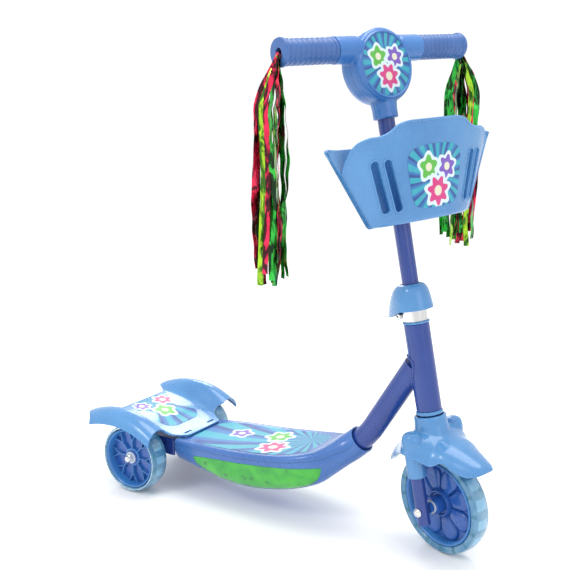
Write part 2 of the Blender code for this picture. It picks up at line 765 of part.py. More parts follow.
# ---- Fork, front fender and clamp ---------------------------------------------------------
def make_fork():
    """Steerer tube, crown bar and two legs whose lower ends are open."""
    fork = rod_up("fork", 0, CROWN_Z, STEERER_TOP, STEERER_R, "frame_paint", STEERING)
    join(fork, rod_across("fork_crown_bar", 0, CROWN_Z, LEG_Y, LEG_R, None, STEERING))
    for word, side in SIDES:
        y = side * LEG_Y
        join(fork, rod_up(f"fork_leg_{word}", y, LEG_LOW, CROWN_Z, LEG_R, None, STEERING))
        cut(fork, rod_up(f"leg_bore_{word}", y, 0.03, 0.140, LEG_R - 0.0015, None, STEERING))
    cut(fork, rod_up("steerer_bore", 0, 0.174, 0.40, STEM_R + RUNNING, None, STEERING))
    axle_hole = AXLE_R + GAP
    cut(fork, rod_across("fork_axle_hole", 0, FRONT_AXLE_Z, 0.07, axle_hole, None, STEERING))


def make_front_axle():
    outside = LEG_Y + LEG_R + GAP
    inside = LEG_Y - LEG_R - GAP
    bolt = [
        (0.0, outside + 0.0042), (0.0028, outside + 0.0040), (0.0050, outside + 0.0028),
        (0.0062, outside), (AXLE_R, outside), (AXLE_R, -outside - 0.0060), (0.0, -outside - 0.0060),
    ]
    turned("front_axle", bolt, "chrome", FRONT_WHEEL, toward=(0, 0, -1), ring=False)
    tube(
        "front_axle_nut", outside, outside + 0.0048, 0.0070, AXLE_R + 0.0010, "chrome", FRONT_WHEEL,
        steps=6,
    )
    for name, low, top in (("left", 0.0238, inside), ("right", -inside, -0.0238)):
        tube(f"front_spacer_{name}", low, top, 0.0072, AXLE_R + GAP, "nylon", FRONT_WHEEL)


# Front fender stations from the tail to the nose: forward, half width, top and hem.
FENDER = [
    (-0.0860, 0.0065, 0.1215, 0.1175),
    (-0.0800, 0.0105, 0.1315, 0.1225),
    (-0.0680, 0.0165, 0.1435, 0.1285),
    (-0.0500, 0.0240, 0.1570, 0.1365),
    (-0.0300, 0.0380, 0.1690, 0.1440),
    (-0.0130, 0.0500, 0.1750, 0.1490),
    (0.0000, 0.0525, 0.1765, 0.1490),
    (0.0130, 0.0490, 0.1740, 0.1430),
    (0.0270, 0.0400, 0.1655, 0.1350),
    (0.0410, 0.0335, 0.1590, 0.1390),
    (0.0550, 0.0295, 0.1510, 0.1290),
    (0.0700, 0.0245, 0.1425, 0.1225),
    (0.0820, 0.0170, 0.1355, 0.1225),
    (0.0890, 0.0080, 0.1295, 0.1250),
]


def fender_ring(station, inset, hem_drop):
    """A section of the front fender: half an oval over straight sides down to the hem."""
    forward, half_width, top, hem = station
    low, wide, count = hem - hem_drop, half_width - inset, 10
    rise = top - inset - hem
    points = [(forward, -wide, low)]
    for k in range(count + 1):
        angle = pi - pi * k / count
        points.append((forward, wide * cos(angle), hem + rise * sin(angle)))
    return points + [(forward, wide, low)]


def make_front_fender():
    """A hood with a bill in front and a tail behind, over two leg sleeves with domed tops."""
    outside = [fender_ring(station, 0.0, 0.0) for station in FENDER]
    inside = [fender_ring(station, SHELL, 0.05) for station in FENDER[2:-1]]
    fender = loft("front_fender", outside, "sky_plastic", STEERING)
    cut(fender, loft("fender_hollow", inside, None, STEERING))
    join(fender, rod_up("fender_collar", 0, 0.164, 0.1918, 0.0235, None, STEERING, end_radius=0.0212))
    bore = LEG_R + 0.0010
    cutters = [
        rod_up("fender_collar_bore", 0, 0.15, 0.20, 0.0185, None, STEERING),
        rod_across("fender_crown_bore", 0, CROWN_Z, LEG_Y, bore, None, STEERING),
    ]
    for word, side in SIDES:
        y = side * LEG_Y
        sleeve = rod_up(f"sleeve_{word}", y, 0.1180, 0.1700, 0.0122, None, STEERING)
        dome = rod_up(f"sleeve_top_{word}", y, 0.1690, 0.1785, 0.0122, None, STEERING, end_radius=0.0075)
        join(fender, sleeve)
        join(fender, dome)
        cutters.append(rod_up(f"sleeve_bore_{word}", y, 0.07, 0.1675, bore, None, STEERING))
    cut(fender, *cutters)


def make_clamp():
    """Chrome band round the top of the steerer, with two ears behind it and a cross bolt."""
    low, top = HEAD_TUBE_TOP + 0.0034, HEAD_TUBE_TOP + 0.0180
    middle, bolt_x, ear = 0.5 * (low + top), -0.0235, 0.0062
    band = rod_up("clamp_band", 0, low, top, 0.0162, "chrome", STEERING)
    ears_low, ears_high = (-0.0300, -ear, low + 0.0008), (-0.0120, ear, top - 0.0008)
    join(band, box("clamp_ears", ears_low, ears_high, None, STEERING))
    below, above = low - 0.01, top + 0.01
    cut(
        band,
        rod_up("clamp_bore", 0, below, above, STEERER_R + GAP, None, STEERING),
        box("clamp_slit", (-0.05, -0.0015, below), (0.0, 0.0015, above), None, STEERING),
        rod_across("clamp_hole", bolt_x, middle, 0.02, 0.0027, None, STEERING),
    )
    seat = ear + GAP
    bolt = [
        (0.0, seat + 0.0036), (0.0044, seat + 0.0034), (0.0048, seat + 0.0028), (0.0048, seat),
        (0.0023, seat), (0.0023, -seat - 0.0052), (0.0, -seat - 0.0052),
    ]
    nut = [(0.0052, seat + 0.0038), (0.0052, seat), (0.0031, seat), (0.0031, seat + 0.0038)]
    centre = (bolt_x, 0, middle)
    turned("clamp_bolt", bolt, "chrome", STEERING, centre, (0, -1, 0), ring=False)
    turned("clamp_nut", nut, "chrome", STEERING, centre, (0, 1, 0), steps=6)


def make_dome_cover():
    """A bell over the clamp, round in front and drawn out behind to cover the bolt."""
    levels = [  # height, radius, how far the back is drawn out
        (0.3662, 0.0136, 0.0), (0.3645, 0.0168, 0.002), (0.3580, 0.0202, 0.0085),
        (0.3480, 0.0221, 0.0160), (0.3340, 0.0236, 0.0215),
    ]
    count = 20
    rings = []
    for height, radius, drawn in levels:
        ring = []
        for k in range(count):
            angle = 2 * pi * k / count
            back = max(0.0, -cos(angle)) ** 1.6
            droop = 0.0115 * back * blend_step(0.366 - height, 0.0, 0.032)
            across = radius * (1 + 0.12 * back) * sin(angle)
            ring.append(((radius + drawn * back) * cos(angle), across, height - droop))
        rings.append(ring)
    cover = loft("dome_cover", rings, "sky_plastic", STEERING, caps=False)
    thicken(cover, 0.0021)


# ---- Stem, handlebar, dashboard, grips and streamers ---------------------------------------
def make_handlebar():
    bar = rod_across("handlebar", 0, BAR_Z, BAR_HALF, BAR_R, "frame_paint", STEERING)
    join(bar, rod_up("stem_outside", 0, STEM_LOW, BAR_Z, STEM_R, None, STEERING))
    cut(bar, rod_across("bar_bore", 0, BAR_Z, 0.2, BAR_R - TUBE_WALL, None, STEERING))
    cut(bar, rod_up("stem_bore", 0, 0.2, BAR_Z, STEM_R - TUBE_WALL, None, STEERING))


DASH_OUTSIDE = [                  # radius, forward
    (0.0, 0.0160), (0.0415, 0.0160), (0.0440, 0.0155), (0.0468, 0.0120), (DASH_R, 0.0070),
    (DASH_R, -0.0120), (0.0460, -0.0180), (0.0400, -0.0225), (0.0280, -0.0245), (0.0, -0.0250),
]
DASH_INSIDE = [
    (0.0, 0.0095), (0.0420, 0.0095), (0.0445, 0.0060), (0.0450, -0.0110),
    (0.0430, -0.0165), (0.0380, -0.0200), (0.0270, -0.0220), (0.0, -0.0225),
]


def dash_drum(name, profile):
    centre, forward = (0, 0, DASH_Z), (1, 0, 0)
    return turned(name, profile, None, STEERING, centre, forward, ring=False, steps=22)


def make_dash_shell(name, low_x, high_x):
    """One half of the dashboard: a drum with two arms round the bar and a neck on the stem."""
    shell = box(name, (low_x, -0.08, 0.55), (high_x, 0.08, 0.72), "sky_plastic", STEERING)
    whole = dash_drum(f"{name}_drum", DASH_OUTSIDE)
    join(
        whole,
        rod_across(f"{name}_arms", 0, BAR_Z, 0.072, 0.0170, None, STEERING),
        rod_up(f"{name}_neck", 0, 0.5965, 0.622, 0.0165, None, STEERING, end_radius=0.0250),
        rod_up(f"{name}_foot", 0, 0.5830, 0.5985, 0.0160, None, STEERING),
    )
    combine(shell, whole, "INTERSECT")
    cut(
        shell,
        dash_drum(f"{name}_cavity", DASH_INSIDE),
        rod_across(f"{name}_bar_hole", 0, BAR_Z, 0.1, BAR_R + GAP, None, STEERING),
        rod_up(f"{name}_stem_hole", 0, 0.5, 0.685, STEM_R + GAP, None, STEERING),
    )
    return shell


def make_dash():
    """Two shells joined on the plane of the bar, and the printed disc let into the front one."""
    split, seat = GAP / 2, 0.0125
    front = make_dash_shell("dash_front_shell", split, 0.08)
    make_dash_shell("dash_back_shell", -0.08, -split)
    start, end = (seat, 0, DASH_Z), (0.03, 0, DASH_Z)
    cut(front, rod("dash_face_seat", start, end, DASH_FACE_R + GAP, None, STEERING, steps=22))
    start, end = (seat + GAP, 0, DASH_Z), (0.0148, 0, DASH_Z)
    rod("dash_face", start, end, DASH_FACE_R, "printed_face", STEERING, steps=22)


def make_grips():
    """Ribbed sleeves with a flared end; the end hole takes the streamers' plug."""
    ribs, first, pitch = 7, 0.0790, 0.0098
    outside = [(0.0162, GRIP_INNER_END), (0.0162, GRIP_INNER_END + 0.004)]
    for k in range(ribs):
        start = first + k * pitch
        outside += [(0.0152, start + 0.0010), (0.0163, start + 0.0048)]
    outside += [(0.0158, 0.1492), (0.0176, 0.1508), (0.0178, 0.1535), (0.0166, GRIP_END)]
    fit, stop = BAR_R + GAP, BAR_HALF + GAP
    bore = [(0.0062, GRIP_END), (0.0062, stop), (fit, stop), (fit, GRIP_INNER_END)]
    profile = (outside + bore)[::-1]
    for word, side in SIDES:
        turned(f"grip_{word}", profile, "grip_plastic", STEERING, (0, 0, BAR_Z), (0, side, 0))


# Streamer sections from the plug in the grip's end to the cut ends: outward, down, half width
# across, half depth, and how far the section has turned from upright to level.
STREAMER = [
    (-0.0070, 0.0000, 0.0048, 0.0048, 0.00), (0.0015, 0.0000, 0.0050, 0.0050, 0.05),
    (0.0090, 0.0010, 0.0085, 0.0075, 0.45), (0.0150, 0.0100, 0.0150, 0.0085, 1.00),
    (0.0160, 0.0280, 0.0200, 0.0125, 1.00), (0.0150, 0.0700, 0.0250, 0.0180, 1.00),
    (0.0135, 0.1300, 0.0280, 0.0210, 1.00), (0.0125, 0.2000, 0.0290, 0.0220, 1.00),
    (0.0125, STREAMER_DROP, 0.0290, 0.0220, 1.00),
]


def make_streamers():
    """A bundle of foil strips from each grip's end, arching over and hanging straight down.

    It is built upright in the chassis frame, because it hangs under its own weight.
    """
    bpy.context.view_layer.update()
    to_chassis = STEERING.matrix_local
    count, up = 14, Vector((0, 0, 1))
    for word, side in SIDES:
        end = to_chassis @ Vector((0, side * GRIP_END, BAR_Z))
        out = (to_chassis.to_3x3() @ Vector((0, side, 0))).normalized()
        across = up.cross(out).normalized()
        rings = []
        for outward, down, wide, deep, turn in STREAMER:
            centre = end + out * outward - up * down
            facing = (up * (1 - turn) + across.cross(up) * turn).normalized()
            ring = []
            for i in range(count):
                angle = 2 * pi * i / count
                ring.append(centre + across * wide * cos(angle) + facing * deep * sin(angle))
            rings.append(ring)
        loft(f"streamers_{word}", rings, "foil", CHASSIS)


# ---- Basket -------------------------------------------------------------------------------
# Half of the basket's rim from the front middle round to the back middle: how far forward
# (share of the depth), how far out (share of the half width), and the height of the rim.
BASKET_RIM = [
    (1.000, 0.00, 0.5700), (0.994, 0.14, 0.5700), (0.978, 0.28, 0.5698), (0.950, 0.39, 0.5670),
    (0.915, 0.48, 0.5600), (0.870, 0.58, 0.5558), (0.800, 0.70, 0.5550), (0.700, 0.81, 0.5500),
    (0.580, 0.905, 0.5380), (0.455, 0.970, 0.5255), (0.390, 1.000, 0.5205), (0.385, 1.022, 0.5350),
    (0.375, 1.030, 0.5487), (0.230, 0.840, 0.5482), (0.080, 0.580, 0.5480), (0.000, 0.40, 0.5480),
    (0.000, 0.20, 0.5480), (0.000, 0.00, 0.5480),
]


def basket_point(forward, outward, z):
    """A point of the outer wall: the plan widens and deepens with height."""
    rise = (z - BASKET_LOW) / 0.078
    depth = 0.0480 + 0.0125 * rise
    half = 0.0860 + 0.0410 * rise
    return (BASKET_BACK + depth * forward, half * outward, z)


def basket_ring(share):
    """One level of the basket, from its floor (0) to its rim (1); the floor's edge is rounded."""
    shrink = 0.94 + 0.06 * blend_step(share, 0.0, 0.08)
    middle = BASKET_BACK + 0.024
    ring = []
    for forward, outward, rim in BASKET_RIM + [(f, -o, z) for f, o, z in BASKET_RIM[-2:0:-1]]:
        x, y, z = basket_point(forward, outward, BASKET_LOW + (rim - BASKET_LOW) * share)
        x = middle + max(x - middle, 0.0) * shrink + min(x - middle, 0.0)
        ring.append((x, y * shrink, z))
    return ring


BASKET_SCREWS = {"lower": 0.482, "upper": 0.528}


def make_basket():
    rings = [basket_ring(share) for share in (1.0, 0.75, 0.40, 0.05, 0.0)]
    basket = loft("basket", rings, "sky_plastic", STEERING, caps=False)
    close_floor(basket.data)
    thicken(basket, BASKET_WALL)
    for word, side in SIDES:
        for number, (top_y, low_y) in enumerate(((0.073, 0.058), (0.090, 0.074))):
            name = f"basket_slot_{word}_{number}"
            cut(basket, slot_cutter(name, side * low_y, 0.470, side * top_y, 0.524, 0.0048))
    for word, z in BASKET_SCREWS.items():
        start, end = (0.0, 0, z), (0.04, 0, z)
        cut(basket, rod(f"basket_hole_{word}", start, end, 0.0021, None, STEERING))


def close_floor(mesh):
    bm = bmesh.new()
    bm.from_mesh(mesh)
    edges = [edge for edge in bm.edges if edge.is_boundary]
    floor = [edge for edge in edges if edge.verts[0].co.z < BASKET_LOW + 0.0005]
    bmesh.ops.contextual_create(bm, geom=floor)
    bmesh.ops.recalc_face_normals(bm, faces=bm.faces)
    bmesh.ops.reverse_faces(bm, faces=bm.faces)
    bm.to_mesh(mesh)
    bm.free()


def slot_cutter(name, low_y, low_z, top_y, top_z, radius):
    """A round-ended bar that cuts a slot through the front wall only."""
    along = Vector((0, top_y - low_y, top_z - low_z)).normalized()
    side = Vector((0, -along.z, along.y))
    outline = []
    for centre, sign in ((Vector((0, top_y, top_z)), 1), (Vector((0, low_y, low_z)), -1)):
        for k in range(9):
            angle = pi * k / 8
            outline.append(centre + (along * sin(angle) - side * cos(angle)) * radius * sign)
    rings = [[(x, p.y, p.z) for p in outline] for x in (0.031, 0.12)]
    return loft(name, rings, None, STEERING)


def make_basket_clamps():
    """Two rings on the stem with a flat pad; a screw from inside the basket holds each."""
    half, pad_y, pad_x = 0.007, 0.0095, BASKET_BACK - 0.0004
    for word, z in BASKET_SCREWS.items():
        name = f"basket_clamp_{word}"
        low, top = z - half, z + half
        ring = rod_up(name, 0, low, top, 0.0142, "sky_plastic", STEERING)
        join(ring, box(f"{name}_pad", (0.0, -pad_y, low), (pad_x, pad_y, top), None, STEERING))
        start, end = (0.005, 0, z), (0.03, 0, z)
        cut(
            ring,
            rod_up(f"{name}_bore", 0, z - 0.01, z + 0.01, STEM_R + GAP, None, STEERING),
            rod(f"{name}_hole", start, end, 0.0017, None, STEERING),
        )
        seat = (BASKET_BACK + BASKET_WALL, 0, z)
        make_screw(f"basket_screw_{word}", seat, (-1, 0, 0), STEERING, 0.0068)


# ---- Build --------------------------------------------------------------------------------
make_main_frame()
make_headset()
make_deck()
make_rear_bracket()
make_rear_fender()
make_rear_axle()
make_wheels()
make_fork()
make_front_axle()
make_front_fender()
make_clamp()
make_dome_cover()
make_handlebar()
make_dash()
make_grips()
make_streamers()
make_basket()
make_basket_clamps()
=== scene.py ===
"""Looks of a toddler's three-wheeled kick scooter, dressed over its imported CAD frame.

Everything is in metres in the CAD's frame. Pieces of the chassis are made in a frame at the
steering foot (where the steering axis meets the floor), and pieces that turn with the bars in a
frame whose Z is the steering axis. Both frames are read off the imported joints.
"""

import json
import random
from math import atan2, cos, pi, radians, sin, sqrt

import bmesh
import bpy
from mathutils import Matrix, Vector


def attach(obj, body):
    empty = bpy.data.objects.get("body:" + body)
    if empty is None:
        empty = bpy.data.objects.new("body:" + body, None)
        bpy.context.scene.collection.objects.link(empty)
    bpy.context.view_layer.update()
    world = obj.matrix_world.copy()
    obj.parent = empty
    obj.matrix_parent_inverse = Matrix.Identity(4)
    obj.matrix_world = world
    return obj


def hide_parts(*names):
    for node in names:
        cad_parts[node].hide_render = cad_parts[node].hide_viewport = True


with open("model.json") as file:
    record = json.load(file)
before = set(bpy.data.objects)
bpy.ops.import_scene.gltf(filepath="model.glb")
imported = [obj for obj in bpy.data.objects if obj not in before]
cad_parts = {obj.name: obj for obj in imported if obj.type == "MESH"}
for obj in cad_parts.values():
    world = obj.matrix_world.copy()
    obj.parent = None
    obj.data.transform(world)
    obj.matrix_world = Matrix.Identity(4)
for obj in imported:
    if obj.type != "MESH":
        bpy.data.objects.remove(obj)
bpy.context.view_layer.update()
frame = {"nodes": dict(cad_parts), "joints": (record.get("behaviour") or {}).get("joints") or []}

# ---- Places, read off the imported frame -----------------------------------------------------
JOINTS = {joint["name"]: joint for joint in frame["joints"]}
FOOT = Vector(JOINTS["steer"]["pos_m"])
STEER_AXIS = Vector(JOINTS["steer"]["axis"]).normalized()
LEFT_AXIS = Vector(JOINTS["front_wheel_spin"]["axis"]).normalized()


def frame_of(origin, x_axis, y_axis, z_axis):
    turn = Matrix((x_axis, y_axis, z_axis)).transposed().to_4x4()
    return Matrix.Translation(origin) @ turn


UP = Vector((0, 0, 1))
LEFT = Vector((0, 1, 0))
FORWARD = Vector((1, 0, 0))
CHASSIS = Matrix.Translation(FOOT)
STEERING = frame_of(FOOT, LEFT_AXIS.cross(STEER_AXIS), LEFT_AXIS, STEER_AXIS)


def wheel_frame(joint, outwards):
    """A frame at a wheel's centre whose Z points outwards along the axle."""
    away = Vector(JOINTS[joint]["axis"]).normalized() * outwards
    ahead = away.cross(UP).normalized() * -outwards
    return frame_of(JOINTS[joint]["pos_m"], ahead, away.cross(ahead), away)


FRONT_WHEEL = wheel_frame("front_wheel_spin", 1)
REAR_WHEELS = {
    "left": wheel_frame("rear_left_wheel_spin", 1),
    "right": wheel_frame("rear_right_wheel_spin", -1),
}
SIDES = (("left", 1), ("right", -1))
IDENTITY = Matrix.Identity(4)


# ---- Camera, light and floor ---------------------------------------------------------------
def make_camera():
    """The viewing angle: from the scooter's front right, a little above the bars' height."""
    azimuth, pitch = radians(33.2), radians(11.4)
    back = Vector((sin(azimuth) * cos(pitch), -cos(azimuth) * cos(pitch), sin(pitch)))
    right = Vector((cos(azimuth), sin(azimuth), 0))
    data = bpy.data.cameras.new("view")
    data.lens, data.sensor_width = 55.07, 36.0
    camera = bpy.data.objects.new("view", data)
    bpy.context.scene.collection.objects.link(camera)
    camera.matrix_world = frame_of(FOOT + Vector((0.4053, -1.0267, 0.5850)), right, back.cross(right), back)
    bpy.context.scene.camera = camera


def add_light(name, place, target, size, power, colour=(1, 1, 1)):
    data = bpy.data.lights.new(name, "AREA")
    data.shape = "DISK"
    data.size, data.energy, data.color = size, power, colour
    light = bpy.data.objects.new(name, data)
    bpy.context.scene.collection.objects.link(light)
    away = (Vector(place) - Vector(target)).normalized()
    light.matrix_world = Matrix.Translation(place) @ away.to_track_quat("Z", "Y").to_matrix().to_4x4()


def make_studio():
    world = bpy.data.worlds.new("studio")
    world.use_nodes = True
    world.node_tree.nodes["Background"].inputs["Color"].default_value = (1.0, 1.0, 1.0, 1)
    world.node_tree.nodes["Background"].inputs["Strength"].default_value = 1.04
    bpy.context.scene.world = world
    bpy.context.scene.view_settings.view_transform = "Standard"
    target = (0.0, 0.0, 0.3)
    add_light("key", (-0.6, -1.8, 1.9), target, 0.7, 13, (1.0, 0.99, 0.97))
    add_light("fill", (1.9, -0.7, 1.0), target, 1.2, 4, (0.94, 0.97, 1.0))
    add_light("top", (0.1, 0.2, 2.3), target, 1.4, 22)
    add_light("rim", (-1.2, 1.5, 1.3), target, 0.8, 10, (0.96, 0.98, 1.0))
    bm = bmesh.new()
    bmesh.ops.create_circle(bm, cap_ends=True, segments=96, radius=30)
    mesh = bpy.data.meshes.new("floor")
    bm.to_mesh(mesh)
    bm.free()
    mesh.materials.append(plain_material("floor_paper", (0.97, 0.97, 0.97), 0.9))
    floor = bpy.data.objects.new("floor", mesh)
    bpy.context.scene.collection.objects.link(floor)


# ---- Materials -----------------------------------------------------------------------------
def shader_of(name):
    made = bpy.data.materials.new(name)
    made.use_nodes = True
    return made, made.node_tree, made.node_tree.nodes["Principled BSDF"]


def plain_material(name, colour, roughness):
    made, tree, shader = shader_of(name)
    grain = add_noise(tree, 3.0, 2)
    mix = add_mix(tree, grain, colour, tuple(c * 0.985 for c in colour))
    tree.links.new(mix, shader.inputs["Base Color"])
    shader.inputs["Roughness"].default_value = roughness
    return made


def add_coordinates(tree, source="Object"):
    return tree.nodes.new("ShaderNodeTexCoord").outputs[source]


def add_noise(tree, scale, detail, stretch=(1, 1, 1), distortion=0.0):
    """A noise field over the piece's own coordinates, as a factor socket."""
    mapping = tree.nodes.new("ShaderNodeMapping")
    mapping.inputs["Scale"].default_value = stretch
    tree.links.new(add_coordinates(tree), mapping.inputs["Vector"])
    texture = tree.nodes.new("ShaderNodeTexNoise")
    texture.inputs["Scale"].default_value = scale
    texture.inputs["Detail"].default_value = detail
    texture.inputs["Distortion"].default_value = distortion
    tree.links.new(mapping.outputs["Vector"], texture.inputs["Vector"])
    return texture.outputs["Fac"]


def put(tree, socket, value):
    """Sets a socket to a number or colour, or links another socket into it."""
    if isinstance(value, bpy.types.NodeSocket):
        tree.links.new(value, socket)
    elif isinstance(value, tuple) and len(value) == 3 and socket.type == "RGBA":
        socket.default_value = (*value, 1.0)
    else:
        socket.default_value = value


def add_mix(tree, factor, first, second):
    mix = tree.nodes.new("ShaderNodeMix")
    mix.data_type = "RGBA"
    put(tree, mix.inputs[0], factor)
    put(tree, mix.inputs[6], first)
    put(tree, mix.inputs[7], second)
    return mix.outputs[2]


def add_range(tree, value, low, high, to_low=0.0, to_high=1.0, smooth=False):
    node = tree.nodes.new("ShaderNodeMapRange")
    node.interpolation_type = "SMOOTHSTEP" if smooth else "LINEAR"
    for name, amount in zip(("From Min", "From Max", "To Min", "To Max"), (low, high, to_low, to_high)):
        node.inputs[name].default_value = amount
    put(tree, node.inputs["Value"], value)
    return node.outputs["Result"]


def add_math(tree, operation, first, second=0.0):
    node = tree.nodes.new("ShaderNodeMath")
    node.operation = operation
    put(tree, node.inputs[0], first)
    put(tree, node.inputs[1], second)
    return node.outputs[0]


def add_bump(tree, shader, height, strength, distance):
    bump = tree.nodes.new("ShaderNodeBump")
    bump.inputs["Strength"].default_value = strength
    bump.inputs["Distance"].default_value = distance
    tree.links.new(height, bump.inputs["Height"])
    tree.links.new(bump.outputs["Normal"], shader.inputs["Normal"])


def moulded(name, colour, deep, roughness, coat=0.3, scatter=0.0, metallic=0.0):
    """Moulded plastic or enamel: a slow drift of colour, fine orange peel and a thin gloss."""
    made, tree, shader = shader_of(name)
    drift = add_range(tree, add_noise(tree, 14.0, 3), 0.35, 0.68)
    tree.links.new(add_mix(tree, drift, deep, colour), shader.inputs["Base Color"])
    rub = add_noise(tree, 120.0, 4)
    gloss = add_range(tree, rub, 0.3, 0.7, roughness * 0.85, roughness * 1.2)
    tree.links.new(gloss, shader.inputs["Roughness"])
    add_bump(tree, shader, add_noise(tree, 620.0, 2), 0.10, 0.00025)
    shader.inputs["Metallic"].default_value = metallic
    shader.inputs["Coat Weight"].default_value = coat
    shader.inputs["Coat Roughness"].default_value = 0.08
    if scatter:
        shader.inputs["Subsurface Weight"].default_value = scatter
        shader.inputs["Subsurface Radius"].default_value = (0.2, 0.5, 1.0)
        shader.inputs["Subsurface Scale"].default_value = 0.006
    return made


def metal(name, colour, roughness, stretch=(1, 1, 1)):
    """Plated metal with faint drawn or rubbed lines in its gloss."""
    made, tree, shader = shader_of(name)
    lines = add_noise(tree, 300.0, 3, stretch)
    gloss = add_range(tree, lines, 0.3, 0.7, roughness * 0.7, roughness * 1.4)
    tree.links.new(gloss, shader.inputs["Roughness"])
    tint = add_mix(tree, lines, colour, tuple(c * 0.8 for c in colour))
    tree.links.new(tint, shader.inputs["Base Color"])
    add_bump(tree, shader, lines, 0.06, 0.0002)
    shader.inputs["Metallic"].default_value = 1.0
    return made


def clear_cast(name, clear, body, dark, block_scale, blocks=0, half=0.0, clearness=0.35):
    """Clear cast plastic: paler and darker patches, as if lamps and wires lay inside it.

    A tyre also shows a row of pale blocks round its tread, with dark dots at its shoulders.
    """
    made, tree, shader = shader_of(name)
    cloud = add_range(tree, add_noise(tree, 32.0, 3, distortion=0.6), 0.38, 0.66)
    base = add_mix(tree, cloud, body, clear)
    if blocks:
        split = tree.nodes.new("ShaderNodeSeparateXYZ")
        tree.links.new(add_coordinates(tree), split.inputs[0])
        angle = add_math(tree, "ARCTAN2", split.outputs[1], split.outputs[0])
        wave = add_math(tree, "SINE", add_math(tree, "MULTIPLY", angle, float(blocks)))
        aside = add_math(tree, "ABSOLUTE", split.outputs[2])
        tread = add_range(tree, aside, half * 0.50, half * 0.62, 0.65, 0.0, smooth=True)
        block_mask = add_math(tree, "MULTIPLY", add_range(tree, wave, -0.25, 0.05, smooth=True), tread)
        base = add_mix(tree, block_mask, base, tuple(min(1.0, c * 1.5) for c in clear))
        shoulder = add_range(tree, aside, half * 0.66, half * 0.74, smooth=True)
        beyond = add_range(tree, aside, half * 0.84, half * 0.92, 1.0, 0.0, smooth=True)
        gap = add_range(tree, wave, -0.9, -0.6, 0.8, 0.0, smooth=True)
        dots = add_math(tree, "MULTIPLY", add_math(tree, "MULTIPLY", shoulder, beyond), gap)
        base = add_mix(tree, dots, base, dark)
    cells = tree.nodes.new("ShaderNodeTexVoronoi")
    cells.inputs["Scale"].default_value = block_scale
    tree.links.new(add_coordinates(tree), cells.inputs["Vector"])
    spot = add_range(tree, cells.outputs["Distance"], 0.10, 0.26, 0.5 if blocks else 1.0, 0.0, smooth=True)
    tree.links.new(add_mix(tree, spot, base, dark), shader.inputs["Base Color"])
    shader.inputs["Roughness"].default_value = 0.16
    shader.inputs["IOR"].default_value = 1.5
    shader.inputs["Transmission Weight"].default_value = clearness
    shader.inputs["Coat Weight"].default_value = 0.5
    shader.inputs["Coat Roughness"].default_value = 0.05
    add_bump(tree, shader, add_noise(tree, 260.0, 2), 0.08, 0.0004)
    return made


def foil(name, bright, dark):
    """Metallised film: crumpled, its colour painted in patches between bright and nearly black (painted
    glints and painted crease shade), so that each strip flickers.
    """
    made, tree, shader = shader_of(name)
    crumple_glint_noise = add_noise(tree, 95.0, 3, (1.0, 1.0, 0.35), 1.2)
    # painted glints and painted shade of the crumples, mixed into the base colour
    painted_glint_mask = add_range(tree, crumple_glint_noise, 0.44, 0.58, smooth=True)
    tree.links.new(add_mix(tree, painted_glint_mask, dark, bright), shader.inputs["Base Color"])
    shader.inputs["Metallic"].default_value = 0.75
    shader.inputs["Roughness"].default_value = 0.24
    shader.inputs["Coat Weight"].default_value = 0.3
    add_bump(tree, shader, add_noise(tree, 240.0, 2, (1, 1, 0.4)), 0.5, 0.0015)
    return made


def polar(tree, centre=(0.0, 0.0)):
    """Angle and distance of the piece's print coordinates about a centre."""
    split = tree.nodes.new("ShaderNodeSeparateXYZ")
    tree.links.new(add_coordinates(tree, "UV"), split.inputs[0])
    across = add_math(tree, "SUBTRACT", split.outputs[0], centre[0])
    up = add_math(tree, "SUBTRACT", split.outputs[1], centre[1])
    angle = add_math(tree, "ARCTAN2", up, across)
    squares = [add_math(tree, "MULTIPLY", part, part) for part in (across, up)]
    square = add_math(tree, "ADD", *squares)
    return angle, add_math(tree, "SQRT", square)


def blossom(tree, under, centre, size, petals, colour):
    """Lays one simple round-petalled flower over a printed colour."""
    angle, radius = polar(tree, centre)
    wave = add_math(tree, "SINE", add_math(tree, "MULTIPLY", angle, float(petals)))
    reach = add_math(tree, "ADD", add_math(tree, "MULTIPLY", wave, size * 0.16), size * 0.84)
    edge = add_math(tree, "SUBTRACT", reach, radius)
    halo = add_range(tree, edge, -size * 0.30, -size * 0.24, smooth=True)
    under = add_mix(tree, halo, under, (0.62, 0.74, 0.78))
    under = add_mix(tree, add_range(tree, edge, 0.0, size * 0.06, smooth=True), under, colour)
    heart = add_range(tree, radius, size * 0.30, size * 0.36, 1.0, 0.0, smooth=True)
    return add_mix(tree, heart, under, (0.70, 0.68, 0.52))


PRINT_TURQUOISE = (0.020, 0.34, 0.44)
PRINT_BLUE = (0.012, 0.060, 0.27)
PRINT_MID = (0.018, 0.150, 0.42)
PINK, GREEN, VIOLET = (0.60, 0.03, 0.20), (0.09, 0.42, 0.04), (0.17, 0.08, 0.44)


